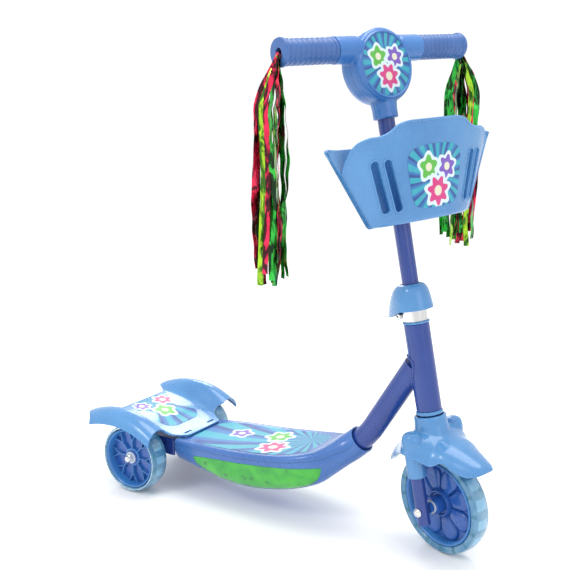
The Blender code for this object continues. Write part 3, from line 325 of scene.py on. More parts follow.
def printed(name, centre, rays, swirl, flowers):
    """A glossy label: a curling sunburst of turquoise and blue rays under simple flowers."""
    made, tree, shader = shader_of(name)
    angle, radius = polar(tree, centre)
    curl = add_math(tree, "MULTIPLY", radius, swirl)
    phase = add_math(tree, "ADD", add_math(tree, "MULTIPLY", angle, float(rays)), curl)
    broad = add_range(tree, add_math(tree, "SINE", phase), -0.12, 0.12, smooth=True)
    half = add_math(tree, "SINE", add_math(tree, "ADD", add_math(tree, "MULTIPLY", phase, 0.5), 0.9))
    second = add_mix(tree, add_range(tree, half, -0.2, 0.2, smooth=True), PRINT_MID, PRINT_BLUE)
    colour = add_mix(tree, broad, second, PRINT_TURQUOISE)
    for place, size, petals, tint in flowers:
        colour = blossom(tree, colour, place, size, petals, tint)
    ink = add_noise(tree, 90.0, 3)
    colour = add_mix(tree, add_range(tree, ink, 0.3, 0.7, 0.0, 0.05), colour, (0.6, 0.75, 0.85))
    tree.links.new(colour, shader.inputs["Base Color"])
    shader.inputs["Roughness"].default_value = 0.45
    shader.inputs["Coat Weight"].default_value = 0.06
    shader.inputs["Coat Roughness"].default_value = 0.06
    add_bump(tree, shader, add_noise(tree, 500.0, 2), 0.05, 0.0002)
    return made


MATERIALS = {
    "sky_plastic": moulded("sky_plastic", (0.082, 0.265, 0.54), (0.066, 0.220, 0.48), 0.26, 0.30, 0.08),
    "dash_plastic": moulded("dash_plastic", (0.046, 0.185, 0.50), (0.037, 0.155, 0.45), 0.30, 0.25, 0.05),
    "grip_plastic": moulded("grip_plastic", (0.055, 0.150, 0.40), (0.040, 0.115, 0.34), 0.40, 0.10, 0.05),
    "deck_plastic": moulded("deck_plastic", (0.050, 0.155, 0.44), (0.038, 0.125, 0.38), 0.28, 0.25, 0.05),
    "frame_paint": moulded("frame_paint", (0.018, 0.054, 0.270), (0.013, 0.042, 0.230), 0.28, 0.25),
    "hub_plastic": moulded("hub_plastic", (0.020, 0.105, 0.40), (0.015, 0.082, 0.34), 0.26, 0.35, 0.05),
    "hub_rib": moulded("hub_rib", (0.045, 0.205, 0.52), (0.035, 0.165, 0.46), 0.28, 0.30),
    "nylon": moulded("nylon", (0.62, 0.70, 0.80), (0.55, 0.63, 0.74), 0.45, 0.05),
    "circuit": moulded("circuit", (0.03, 0.25, 0.08), (0.02, 0.16, 0.05), 0.40, 0.20),
    "cable": moulded("cable", (0.008, 0.010, 0.010), (0.004, 0.005, 0.005), 0.45, 0.10),
    # near-black material: painted shade inside the open lower ends of the fork legs
    "inside_dark": moulded("inside_dark", (0.010, 0.010, 0.015), (0.006, 0.006, 0.010), 0.60, 0.0),
    "chrome": metal("chrome", (0.80, 0.80, 0.80), 0.10),
    "steel": metal("steel", (0.55, 0.55, 0.57), 0.28, (1, 1, 6)),
    "clear_tyre": clear_cast(
        "clear_tyre", (0.24, 0.48, 0.66), (0.08, 0.28, 0.50), (0.02, 0.20, 0.30), 46.0, blocks=16, half=0.015,
    ),
    "green_lens": clear_cast(
        "green_lens", (0.05, 0.50, 0.03), (0.012, 0.34, 0.030), (0.005, 0.20, 0.03), 60.0, clearness=0.12,
    ),
    # each foil's two colours are its painted glint and its painted crease shade
    "foil_red": foil("foil_red", (0.85, 0.02, 0.09), (0.05, 0.002, 0.008)),
    "foil_green": foil("foil_green", (0.03, 0.50, 0.05), (0.002, 0.03, 0.004)),
    "foil_lime": foil("foil_lime", (0.42, 0.75, 0.03), (0.03, 0.16, 0.005)),
    "dash_print": printed("dash_print", (0.0, 0.004), 18, 38.0, [
        ((-0.013, 0.010), 0.0140, 5, GREEN), ((0.015, 0.009), 0.0135, 6, VIOLET),
        ((0.001, -0.015), 0.0165, 7, PINK),
    ]),
    "basket_print": printed("basket_print", (0.004, 0.0), 20, 30.0, [
        ((-0.013, 0.013), 0.0155, 5, GREEN), ((0.019, 0.011), 0.0150, 6, VIOLET),
        ((0.002, -0.017), 0.0190, 7, PINK),
    ]),
    "deck_print": printed("deck_print", (0.075, 0.02), 20, 22.0, [
        ((0.018, 0.020), 0.0200, 6, GREEN), ((0.034, -0.024), 0.0220, 7, PINK),
        ((-0.048, 0.012), 0.0165, 5, VIOLET),
    ]),
    "saddle_print": printed("saddle_print", (-0.03, 0.0), 18, 26.0, [
        ((-0.024, 0.022), 0.0160, 6, PINK), ((0.004, -0.004), 0.0175, 5, GREEN),
        ((-0.028, -0.024), 0.0140, 7, VIOLET),
    ]),
}


# ---- Mesh helpers --------------------------------------------------------------------------
def add_piece(name, bm, place, body, materials, stands_for=(), crease=38):
    """Makes a smooth-shaded piece, rides it on a body and lets it stand for CAD nodes."""
    mesh = bpy.data.meshes.new(name)
    bm.to_mesh(mesh)
    bm.free()
    mesh.shade_smooth()
    mesh.set_sharp_from_angle(angle=radians(crease))
    for material in materials.split():
        mesh.materials.append(MATERIALS[material])
    item = bpy.data.objects.new(name, mesh)
    bpy.context.scene.collection.objects.link(item)
    item.matrix_world = place
    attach(item, body)
    if stands_for:
        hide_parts(*stands_for.split())
    return item


def turn(profile, steps=72, ring=True, start=0, bm=None, place=IDENTITY):
    """Turns (radius, height) points about Z. A ring's profile closes on itself."""
    bm = bm or bmesh.new()
    rows = []
    for radius, height in profile:
        if radius < 1e-7:
            rows.append([bm.verts.new(place @ Vector((0, 0, height)))] * steps)
            continue
        row = []
        for k in range(steps):
            angle = start + 2 * pi * k / steps
            row.append(bm.verts.new(place @ Vector((radius * cos(angle), radius * sin(angle), height))))
        rows.append(row)
    pairs = list(zip(rows, rows[1:]))
    if ring:
        pairs.append((rows[-1], rows[0]))
    for low, high in pairs:
        for k in range(steps):
            j = (k + 1) % steps
            corners = [low[k], low[j], high[j], high[k]]
            distinct = [v for i, v in enumerate(corners) if v not in corners[:i]]
            if len(distinct) > 2:
                bm.faces.new(distinct)
    bmesh.ops.recalc_face_normals(bm, faces=bm.faces)
    return bm


def aim(origin, toward):
    """A matrix that moves Z onto a direction at a point."""
    turned = Vector(toward).to_track_quat("Z", "Y").to_matrix().to_4x4()
    return Matrix.Translation(origin) @ turned


def skin(rings, around=True, caps=True, bm=None, uvs=None):
    """Skins equal rings of points; without caps or joins the result is an open sheet."""
    bm = bm or bmesh.new()
    layer = bm.loops.layers.uv.new("print") if uvs else None
    rows = [[bm.verts.new(point) for point in ring] for ring in rings]
    for n in range(len(rows) - 1):
        count = len(rows[n])
        for i in range(count if around else count - 1):
            j = (i + 1) % count
            face = bm.faces.new((rows[n][i], rows[n][j], rows[n + 1][j], rows[n + 1][i]))
            if uvs:
                for loop, (a, b) in zip(face.loops, ((n, i), (n, j), (n + 1, j), (n + 1, i))):
                    loop[layer].uv = uvs[a][b]
    if caps:
        bm.faces.new(rows[0])
        bm.faces.new(rows[-1])
        bmesh.ops.recalc_face_normals(bm, faces=bm.faces)
    return bm


def sweep(points, radius, sides=20, closed=False, bm=None, flat=1.0):
    """A round (or flattened) bar along a path; radius is a number or one per point."""
    bm = bm or bmesh.new()
    path = [Vector(p) for p in points]
    count = len(path)
    side, rings = None, []
    for k, point in enumerate(path):
        ahead = path[(k + 1) % count] if closed or k < count - 1 else point
        behind = path[k - 1] if closed or k else point
        along = (ahead - behind).normalized()
        if side is None:
            side = along.orthogonal().normalized()
        side = (side - along * side.dot(along)).normalized()
        other = along.cross(side)
        reach = radius[k] if isinstance(radius, (list, tuple)) else radius
        rings.append([
            point + side * cos(2 * pi * i / sides) * reach + other * sin(2 * pi * i / sides) * reach * flat
            for i in range(sides)
        ])
    rows = [[bm.verts.new(p) for p in ring] for ring in rings]
    pairs = list(zip(rows, rows[1:]))
    if closed:
        pairs.append((rows[-1], rows[0]))
    for low, high in pairs:
        for i in range(sides):
            j = (i + 1) % sides
            bm.faces.new((low[i], low[j], high[j], high[i]))
    if not closed:
        bm.faces.new(rows[0][::-1])
        bm.faces.new(rows[-1])
    bmesh.ops.recalc_face_normals(bm, faces=bm.faces)
    return bm


def block(low, high, bm=None):
    bm = bm or bmesh.new()
    low, high = Vector(low), Vector(high)
    made = bmesh.ops.create_cube(bm, size=1.0)["verts"]
    bmesh.ops.scale(bm, vec=high - low, verts=made)
    bmesh.ops.translate(bm, vec=(low + high) / 2, verts=made)
    return bm


def modifier(item, kind, **settings):
    step = item.modifiers.new(kind.title(), kind)
    for key, value in settings.items():
        setattr(step, key, value)
    return step


def shape(bm, place=IDENTITY):
    """A helper object for a boolean; it is removed when the boolean is applied."""
    mesh = bpy.data.meshes.new("helper")
    bm.to_mesh(mesh)
    bm.free()
    item = bpy.data.objects.new("helper", mesh)
    bpy.context.scene.collection.objects.link(item)
    item.matrix_world = place
    return item


def apply_all(item):
    """Puts the modifiers' result into the mesh."""
    bpy.context.view_layer.update()
    graph = bpy.context.evaluated_depsgraph_get()
    mesh = bpy.data.meshes.new_from_object(item.evaluated_get(graph))
    old, item.data = item.data, mesh
    item.modifiers.clear()
    bpy.data.meshes.remove(old)


def combined(item, others, operation="DIFFERENCE"):
    """Applies a boolean with each helper in turn and removes the helpers."""
    for other in others:
        modifier(item, "BOOLEAN", operation=operation, object=other, solver="EXACT")
    apply_all(item)
    for other in others:
        bpy.data.objects.remove(other, do_unlink=True)
    return item


def taken(item):
    """The mesh of a helper object, which is removed."""
    bm = bmesh.new()
    bm.from_mesh(item.data)
    bpy.data.objects.remove(item, do_unlink=True)
    return bm


def fused(parts, voxel, smoothing):
    """One flowing skin round several closed forms, as a moulding with filleted corners."""
    base = combined(parts[0], parts[1:], "UNION")
    modifier(base, "REMESH", mode="VOXEL", voxel_size=voxel)
    modifier(base, "SMOOTH", factor=0.5, iterations=smoothing)
    apply_all(base)
    return taken(base)


def finish_shading(item, crease=38):
    item.data.shade_smooth()
    item.data.set_sharp_from_angle(angle=radians(crease))


def spline(p, q, r, s, t):
    slope, bow, twist = r - p, 2 * p - 5 * q + 4 * r - s, 3 * q - p - 3 * r + s
    return 0.5 * (2 * q + slope * t + bow * t * t + twist * t**3)


def through(stations, position):
    """The smooth value of a list of tuples at a position counted in stations."""
    last = len(stations) - 1
    i = min(int(position), last - 1)
    around = (stations[min(max(i + k, 0), last)] for k in (-1, 0, 1, 2))
    return tuple(spline(*values, position - i) for values in zip(*around))


def refined(stations, steps):
    count = (len(stations) - 1) * steps
    return [through(stations, k / steps) for k in range(count + 1)]


def position_on(line, x, rising=True):
    """Where on a smooth list of tuples the first value equals x."""
    low, high = 0.0, len(line) - 1.0
    for _ in range(40):
        middle = 0.5 * (low + high)
        if (through(line, middle)[0] < x) == rising:
            low = middle
        else:
            high = middle
    return low


def blend_step(value, low, high):
    t = min(max((value - low) / (high - low), 0.0), 1.0)
    return t * t * (3 - 2 * t)


def rounded_outline(half_width, half_length, corner, steps=10):
    """A rectangle with round corners, as points about its own middle."""
    points = []
    for quarter in range(4):
        for k in range(steps + 1):
            angle = 0.5 * pi * (quarter + k / steps)
            sx, sy = ((1, 1), (-1, 1), (-1, -1), (1, -1))[quarter]
            points.append((
                sx * (half_width - corner) + corner * cos(angle),
                sy * (half_length - corner) + corner * sin(angle),
            ))
    return points


def label(name, outline, on_surface, place, body, material, levels=14):
    """A printed sheet laid on a surface: rings of a flat outline, each point set down on it."""
    rings, uvs = [], []
    for n in range(levels, -1, -1):
        share = max(n / levels, 0.002)
        flat = [(u * share, v * share) for u, v in outline]
        rings.append([on_surface(u, v) for u, v in flat])
        uvs.append(flat)
    bm = skin(rings, caps=False, uvs=uvs)
    return add_piece(name, bm, place, body, material)


# ---- Frame, fork and bars ------------------------------------------------------------------
TILT = atan2(-STEER_AXIS.x, STEER_AXIS.z)
HEAD_R, HEAD_BORE, HEAD_LOW, HEAD_TOP = 0.017, 0.015, 0.1983, 0.3155
DOWN_R = 0.016
STEERER_R, STEM_R, BAR_R = 0.0135, 0.011, 0.0095
BAR_Z = 0.6727
REAR_AXLE = Vector(JOINTS["rear_left_wheel_spin"]["pos_m"]) - FOOT
KEEL_Z, KEEL_END = 0.064, -0.4870


def bend(start, slope_in, slope_out, radius, steps):
    points = []
    for k in range(steps + 1):
        slope = slope_in + (slope_out - slope_in) * k / steps
        x = start[0] - radius * (sin(slope_in) - sin(slope))
        points.append((x, 0.0, start[1] - radius * (cos(slope) - cos(slope_in))))
    return points


def down_tube_path():
    steep, shallow = radians(58.5), radians(40.0)
    start = (-0.118, 0.1556)
    first = bend(start, steep, shallow, 0.115, 12)
    low = KEEL_Z + 0.120 * (1 - cos(shallow))
    run = (first[-1][2] - low) / sin(shallow)
    second = bend((first[-1][0] - run * cos(shallow), low), shallow, 0.0, 0.120, 16)
    top = (start[0] + 0.113 * cos(steep), 0.0, start[1] + 0.113 * sin(steep))
    return [top] + first + second + [(KEEL_END, 0.0, KEEL_Z)]


def weld_bead(start, direction):
    """The closed line where the down tube runs into the head tube."""
    axis = Vector((-sin(TILT), 0, cos(TILT)))
    side = Vector((0, 1, 0))
    other = direction.cross(side)
    points = []
    for k in range(48):
        angle = 2 * pi * k / 48
        point = start + (side * cos(angle) + other * sin(angle)) * DOWN_R
        across, along = point - axis * point.dot(axis), direction - axis * direction.dot(axis)
        a, b, c = along.dot(along), across.dot(along), across.dot(across) - HEAD_R**2
        reach = (-b - sqrt(max(b * b - a * c, 0.0))) / a
        points.append(point + direction * reach)
    return points


def make_frame():
    path = down_tube_path()
    direction = (Vector(path[0]) - Vector(path[1])).normalized()
    bead = weld_bead(Vector(path[1]), direction)
    tube = shape(sweep(path, DOWN_R, 40), CHASSIS)
    bore = [(0, 0, HEAD_LOW - 0.02), (0, 0, HEAD_TOP + 0.02)]
    combined(tube, [shape(sweep(bore, HEAD_BORE + 0.0003, 64), STEERING)])
    bm = taken(tube)
    rough = [0.0021 + 0.0004 * sin(k * 1.7) for k in range(len(bead))]
    sweep(bead, rough, 10, closed=True, bm=bm)
    cross = aim((REAR_AXLE.x, 0, REAR_AXLE.z), LEFT)
    turn([(0.011, 0.050), (0.011, -0.050), (0.0046, -0.050), (0.0046, 0.050)], 40, bm=bm, place=cross)
    edge = 0.0007
    head = [
        (HEAD_R, HEAD_TOP - edge), (HEAD_R, HEAD_LOW + edge), (HEAD_R - edge, HEAD_LOW),
        (HEAD_BORE, HEAD_LOW), (HEAD_BORE, HEAD_TOP), (HEAD_R - edge, HEAD_TOP),
    ]
    turn(head, 64, bm=bm, place=CHASSIS.inverted() @ STEERING)
    add_piece("frame_tubes", bm, CHASSIS, "chassis", "frame_paint", "main_frame")


def make_head_bushes():
    bore, low, top = STEERER_R + 0.0001, HEAD_LOW - 0.0003, HEAD_TOP + 0.0003
    lower = [
        (0.0172, low), (0.0178, low - 0.0006), (0.0182, low - 0.0024), (0.0180, low - 0.0042),
        (0.0172, low - 0.0048), (bore, low - 0.0048), (bore, low),
    ]
    upper = [
        (bore, top + 0.0030), (bore, top), (0.0176, top), (0.0181, top + 0.0007),
        (0.0180, top + 0.0022), (0.0168, top + 0.0030),
    ]
    for name, profile in (("lower_head_bush", lower), ("upper_head_bush", upper)):
        bm = turn(profile, 64)
        add_piece(f"{name}_rim", bm, STEERING, "chassis", "sky_plastic", name)


LEG_Y, LEG_R, LEG_LOW, CROWN_Z = 0.039, 0.0085, 0.0526, 0.158


def make_fork():
    bm = sweep([(0, -LEG_Y, CROWN_Z), (0, LEG_Y, CROWN_Z)], LEG_R, 40)
    steerer = [
        (STEERER_R, 0.336), (STEERER_R, CROWN_Z), (STEM_R + 0.0002, CROWN_Z), (STEM_R + 0.0002, 0.336),
    ]
    turn(steerer, 64, bm=bm)
    add_piece("fork_crown", bm, STEERING, "steering", "frame_paint", "fork")
    wall, edge = 0.0015, 0.0005
    leg = [
        (LEG_R, CROWN_Z), (LEG_R, LEG_LOW + edge), (LEG_R - edge, LEG_LOW), (LEG_R - wall, LEG_LOW),
        (LEG_R - wall, 0.140), (0.0, 0.140), (0.0, CROWN_Z),
    ]
    for word, side in SIDES:
        bm = turn(leg, 48, ring=False, place=Matrix.Translation((0, side * LEG_Y, 0)))
        item = add_piece(f"fork_leg_{word}", bm, STEERING, "steering", "frame_paint inside_dark")
        # Faces inside each leg's open lower end get the near-black material: painted shade for the dark
        # inside of the tube.
        for face in item.data.polygons:
            middle = face.center - Vector((0, side * LEG_Y, face.center.z))
            if middle.length < LEG_R - wall + 0.0003:
                face.material_index = 1


def hex_ring(radius, bore, low, top):
    """A chamfered hexagon nut."""
    edge = 0.0006
    profile = [
        (radius - edge, top), (radius, top - edge), (radius, low + edge), (radius - edge, low),
        (bore, low), (bore, top),
    ]
    return turn(profile, 6)


def cross_recess(depth, reach, place):
    """The cutter for a cross-shaped driver recess."""
    bm = block((-reach, -0.0007, -depth), (reach, 0.0007, depth))
    block((-0.0007, -reach, -depth), (0.0007, reach, depth), bm)
    return shape(bm, place)


def make_front_axle():
    outside = LEG_Y + LEG_R + 0.0003
    head = [
        (0.0, 0.0042), (0.0024, 0.0040), (0.0044, 0.0031), (0.0058, 0.0016), (0.0062, 0.0004),
        (0.0060, 0.0), (0.0040, 0.0), (0.0040, -2 * outside - 0.0056), (0.0, -2 * outside - 0.0056),
    ]
    place = FRONT_WHEEL @ aim((0, 0, -outside), (0, 0, -1))
    bolt = add_piece("wheel_bolt", turn(head, 48, ring=False), place, "steering", "chrome", "front_axle")
    combined(bolt, [cross_recess(0.0018, 0.0030, place @ Matrix.Translation((0, 0, 0.0042)))])
    finish_shading(bolt)
    nut = hex_ring(0.0070, 0.0041, outside, outside + 0.0048)
    add_piece("wheel_bolt_nut", nut, FRONT_WHEEL, "steering", "chrome", "front_axle_nut", crease=20)


def make_bars():
    bm = sweep([(0, -0.1475, BAR_Z), (0, 0.1475, BAR_Z)], BAR_R, 40)
    stem = [(STEM_R, 0.6700), (STEM_R, 0.2364), (STEM_R - 0.0004, 0.236), (0.0094, 0.236), (0.0094, 0.6700)]
    turn(stem, 64, bm=bm)
    add_piece("stem_and_bar", bm, STEERING, "handlebar_assembly", "frame_paint", "handlebar")


def clamp_outline(inner, outer, slit, ear, ear_end, steps=48):
    """The clamp seen along the stem: a split ring with two parallel ears behind it."""
    open_out, open_in = atan2(ear, outer), atan2(slit, inner)
    outside, inside = [], []
    for k in range(steps + 1):
        share = k / steps
        angle = -pi + open_out + (2 * pi - 2 * open_out) * share
        outside.append((outer * cos(angle), outer * sin(angle)))
        angle = -pi + open_in + (2 * pi - 2 * open_in) * share
        inside.append((inner * cos(angle), inner * sin(angle)))
    left_ear = [(ear_end, ear), (ear_end, slit)]
    return outside + left_ear + inside[::-1] + [(x, -y) for x, y in left_ear[::-1]]


def make_clamp():
    low, top = HEAD_TOP + 0.0034, HEAD_TOP + 0.0180
    middle, bolt_x, ear = 0.5 * (low + top), -0.0235, 0.0062
    outline = clamp_outline(STEERER_R + 0.0001, 0.0162, 0.0015, ear, -0.0300)
    bm = skin([[(x, y, z) for x, y in outline] for z in (low, top)])
    band = add_piece("stem_clamp", bm, STEERING, "steering", "chrome", "clamp_band", crease=30)
    combined(band, [shape(sweep([(bolt_x, -0.02, middle), (bolt_x, 0.02, middle)], 0.0026, 24), STEERING)])
    modifier(band, "BEVEL", width=0.0005, segments=2, limit_method="ANGLE", angle_limit=radians(50))
    finish_shading(band, 50)
    seat = ear + 0.0003
    bolt = [
        (0.0, 0.0020), (0.0021, 0.0020), (0.0023, 0.0036), (0.0042, 0.0036), (0.0048, 0.0030),
        (0.0048, 0.0), (0.0023, 0.0), (0.0023, -2 * seat - 0.0050), (0.0, -2 * seat - 0.0050),
    ]
    place = STEERING @ aim((bolt_x, -seat, middle), (0, -1, 0))
    add_piece("stem_clamp_bolt", turn(bolt, 48, ring=False), place, "steering", "chrome", "clamp_bolt")
    place = STEERING @ aim((bolt_x, 0, middle), (0, 1, 0))
    nut = hex_ring(0.0052, 0.0024, seat, seat + 0.0038)
    add_piece("stem_clamp_nut", nut, place, "steering", "chrome", "clamp_nut", crease=20)


DOME = [  # height, radius, how far the back is drawn out
    (0.3662, 0.0134, 0.0), (0.3652, 0.0158, 0.001), (0.3625, 0.0183, 0.004), (0.3580, 0.0202, 0.0085),
    (0.3480, 0.0221, 0.0160), (0.3400, 0.0230, 0.0195), (0.3340, 0.0236, 0.0215),
]


def make_dome():
    count, rings = 96, []
    for height, radius, drawn in refined(DOME, 6):
        ring = []
        for k in range(count):
            angle = 2 * pi * k / count
            back = max(0.0, -cos(angle)) ** 1.6
            droop = 0.0115 * back * blend_step(0.366 - height, 0.0, 0.032)
            across = radius * (1 + 0.12 * back) * sin(angle)
            ring.append(((radius + drawn * back) * cos(angle), across, height - droop))
        rings.append(ring)
    bm = skin(rings, caps=False)
    cover = add_piece("clamp_dome", bm, STEERING, "steering", "sky_plastic", "dome_cover")
    modifier(cover, "SOLIDIFY", thickness=0.0020, offset=-1.0, use_even_offset=True)
    modifier(cover, "BEVEL", width=0.0006, segments=3, limit_method="ANGLE", angle_limit=radians(50))


# ---- Deck ----------------------------------------------------------------------------------
# Stations from rear to front: place of the seam (x, z), how far the section leans back, half
# width, height above the seam, depth below it, and the top and bottom corner radii.
DECK = [
    (-0.4340, 0.0785, 1, 0.0560, 0.0070, 0.0345, 0.006, 0.032),
    (-0.4100, 0.0802, 2, 0.0600, 0.0072, 0.0380, 0.006, 0.033),
    (-0.3800, 0.0822, 3, 0.0640, 0.0074, 0.0425, 0.006, 0.032),
    (-0.3400, 0.0846, 4, 0.0658, 0.0076, 0.0480, 0.006, 0.028),
    (-0.3000, 0.0876, 6, 0.0660, 0.0078, 0.0520, 0.006, 0.030),
    (-0.2600, 0.0922, 9, 0.0652, 0.0080, 0.0500, 0.006, 0.030),
    (-0.2270, 0.0965, 14, 0.0622, 0.0088, 0.0450, 0.006, 0.028),
    (-0.2000, 0.1015, 22, 0.0560, 0.0102, 0.0388, 0.007, 0.026),
    (-0.1800, 0.1062, 30, 0.0470, 0.0124, 0.0288, 0.009, 0.024),
    (-0.1640, 0.1130, 36, 0.0360, 0.0155, 0.0232, 0.012, 0.021),
    (-0.1490, 0.1212, 41, 0.0258, 0.0200, 0.0203, 0.0175, 0.0198),
    (-0.1375, 0.1317, 43, 0.0200, 0.0200, 0.0200, 0.020, 0.020),
]
SHELL = 0.0025
RIM_WIDTH, RIM_DROP = 0.0075, 0.0009


def deck_section(half_width, height, corner, rim_drop, arc_steps=10, flat_steps=24):
    """Half a deck section over the seam: side, round corner, rolled rim and recessed middle."""
    corner = min(corner, height - 0.0004, half_width - 0.0004)
    inner = half_width - corner
    left = [(-half_width, 0.0)]
    for k in range(arc_steps + 1):
        angle = pi - 0.5 * pi * k / arc_steps
        left.append((corner * cos(angle) - inner, height - corner + corner * sin(angle)))
    flat = []
    for k in range(1, flat_steps):
        across = inner * (2 * k / flat_steps - 1) * (1.06 - 0.06 * (2 * k / flat_steps - 1) ** 2)
        drop = rim_drop * blend_step(half_width - abs(across), RIM_WIDTH - 0.0012, RIM_WIDTH + 0.0008)
        flat.append((across, height - drop))
    return left + flat + [(-across, up) for across, up in reversed(left)]


def deck_ring(position, up):
    x, z, lean, half_width, height, depth, top_corner, low_corner = through(DECK, position)
    rise, corner = (height, top_corner) if up > 0 else (depth, low_corner)
    drop = RIM_DROP * blend_step(position, 0.2, 0.5) * (1 - blend_step(position, 7.0, 8.4)) if up > 0 else 0.0
    tilt = radians(lean)
    return [
        (x - h * up * sin(tilt), across, z + (h + 0.0001) * up * cos(tilt))
        for across, h in deck_section(half_width, rise, corner, drop)
    ]


def deck_shell_mesh(up, steps=8):
    rings = [deck_ring(k / steps, up) for k in range((len(DECK) - 1) * steps + 1)]
    if up > 0:
        rings = [ring[::-1] for ring in rings]
    return skin(rings, around=False, caps=False)


def solid_shell(bm, place=CHASSIS):
    """A helper that is the thickened shell."""
    item = shape(bm, place)
    modifier(item, "SOLIDIFY", thickness=SHELL, offset=-1.0, use_even_offset=True)
    apply_all(item)
    return item


SEAM = [(station[0], station[1]) for station in DECK]
LENS_X = (-0.392, -0.176)


def lens_outline(margin, count=48):
    """Side view of a window: a long leaf under the seam, fuller towards its rear half."""
    rear, front = LENS_X
    upper, lower = [], []
    for k in range(count + 1):
        angle = pi * k / count
        x = 0.5 * (rear + front) - 0.5 * (front - rear) * cos(angle)
        seam = through(SEAM, position_on(SEAM, x))[1]
        share = sin(angle) ** 0.75
        upper.append((x, seam - 0.0075 - 0.006 * (1 - share) + margin))
        lower.append((x, seam - 0.0095 - 0.037 * share * (1 - 0.22 * cos(angle) ** 3) - margin))
    return upper + lower[-2:0:-1]


def lens_block(side, margin):
    rings = [[(x, side * y, z) for x, z in lens_outline(margin)] for y in (0.028, 0.075)]
    return shape(skin(rings), CHASSIS)


def make_deck():
    top = add_piece("deck_upper_shell", deck_shell_mesh(1), CHASSIS, "chassis", "deck_plastic", "deck_top")
    modifier(top, "SOLIDIFY", thickness=SHELL, offset=-1.0, use_even_offset=True)
    bottom = solid_shell(deck_shell_mesh(-1))
    combined(bottom, [lens_block(side, 0.0004) for side in (1, -1)])
    bm = taken(bottom)
    add_piece("deck_lower_shell", bm, CHASSIS, "chassis", "deck_plastic", "deck_bottom")
    for word, side in SIDES:
        lens = combined(solid_shell(deck_shell_mesh(-1)), [lens_block(side, 0.0)], "INTERSECT")
        bm = taken(lens)
        add_piece(f"side_window_{word}", bm, CHASSIS, "chassis", "green_lens", f"side_lens_{word}")


DECK_TOP_LINE = [
    (x - height * sin(radians(lean)), z + height * cos(radians(lean)) - RIM_DROP)
    for x, z, lean, _, height, _, _, _ in (through(DECK, k / 4) for k in range(29))
]


def make_deck_label():
    """The printed panel in the deck's recess: square behind, narrowing to the tube in front."""
    middle = -0.306
    outline = []
    for k in range(60):
        angle = 2 * pi * k / 60
        u = 0.112 * abs(cos(angle)) ** 0.36 * (1 if cos(angle) > 0 else -1)
        taper = 0.0545 - 0.0150 * blend_step(u, 0.045, 0.112) - 0.004 * blend_step(-u, 0.06, 0.112)
        outline.append((u, taper * abs(sin(angle)) ** 0.36 * (1 if sin(angle) > 0 else -1)))

    def lay(u, v):
        x = middle + u
        return (x, v, through(DECK_TOP_LINE, position_on(DECK_TOP_LINE, x))[1] + 0.0003)

    label("deck_label", outline, lay, CHASSIS, "chassis", "deck_print", 24)


# ---- Rear end ------------------------------------------------------------------------------
SADDLE_LINE = [
    (-0.421, 0.0906), (-0.440, 0.0920), (-0.462, 0.0965), (-0.490, 0.1050),
    (-0.520, 0.1105), (-0.550, 0.1130), (-0.585, 0.1120),
]
CREST_LINE = [
    (-0.421, 0.0965), (-0.440, 0.1110), (-0.472, 0.1250), (-0.504, 0.1300),
    (-0.536, 0.1280), (-0.566, 0.1205), (-0.588, 0.1110),
]
FENDER_HALF = 0.112


def height_on(line, x):
    return through(line, position_on(line, x, rising=False))[1]


def fender_point(along, across):
    """A point of the rear fender's upper side: along 0 is its rear edge, 1 its front edge."""
    y = abs(across)
    rear = -0.550 - 0.024 * blend_step(y, 0.050, 0.074) + 0.014 * blend_step(y, 0.094, 0.112)
    front = -0.420 - 0.026 * blend_step(y, 0.036, 0.062) + 0.008 * blend_step(y, 0.064, 0.078)
    x = rear + (front - rear) * along
    saddle, crest = height_on(SADDLE_LINE, x), height_on(CREST_LINE, x)
    z = saddle + (crest - saddle) * blend_step(y, 0.052, 0.086)
    if y < 0.052:
        z -= 0.0007 * (1 - (y / 0.052) ** 2)
    if y > 0.088:
        z -= 0.024 * (1 - sqrt(max(0.0, 1 - ((y - 0.088) / 0.0242) ** 2)))
    return (x, across, z)


def make_rear_fender():
    across_steps, along_steps, rings = 110, 44, []
    for k in range(along_steps + 1):
        ring = []
        for i in range(across_steps, -1, -1):
            share = 2 * i / across_steps - 1
            ring.append(fender_point(k / along_steps, FENDER_HALF * (1.15 * share - 0.15 * share**3)))
        rings.append(ring)
    shell = solid_shell(skin(rings, around=False, caps=False))
    slots = []
    for side in (1, -1):
        middle = side * 0.0285
        outline = [(-0.4295 + x, middle + y) for x, y in rounded_outline(0.0019, 0.0081, 0.0018)]
        slots.append(shape(skin([[(x, y, z) for x, y in outline] for z in (0.07, 0.11)]), CHASSIS))
    combined(shell, slots)
    bm = taken(shell)
    fender = add_piece("rear_mudguard", bm, CHASSIS, "chassis", "sky_plastic", "rear_fender", crease=50)
    modifier(fender, "BEVEL", width=0.0006, segments=2, limit_method="ANGLE", angle_limit=radians(60))


def make_saddle_label():
    outline = rounded_outline(0.046, 0.041, 0.022)

    def lay(u, v):
        x = -0.501 + u
        return (x, v, height_on(SADDLE_LINE, x) - 0.0007 * (1 - (v / 0.052) ** 2) + 0.0004)

    label("saddle_label", outline, lay, CHASSIS, "chassis", "saddle_print")


def make_rear_nuts():
    for word, place in REAR_WHEELS.items():
        profile = [(0.0, 0.0200)]
        for k in range(8, -1, -1):
            angle = 0.5 * pi * k / 9
            profile.append((0.0054 * cos(angle), 0.0158 + 0.0042 * sin(angle)))
        profile += [
            (0.0063, 0.0150), (0.0063, 0.0112), (0.0057, 0.0104), (0.0043, 0.0104), (0.0043, 0.0186),
            (0.0, 0.0186),
        ]
        bm = turn(profile, 36, ring=False)
        add_piece(f"cap_nut_{word}", bm, place, "chassis", "chrome", f"rear_axle_nut_{word}")


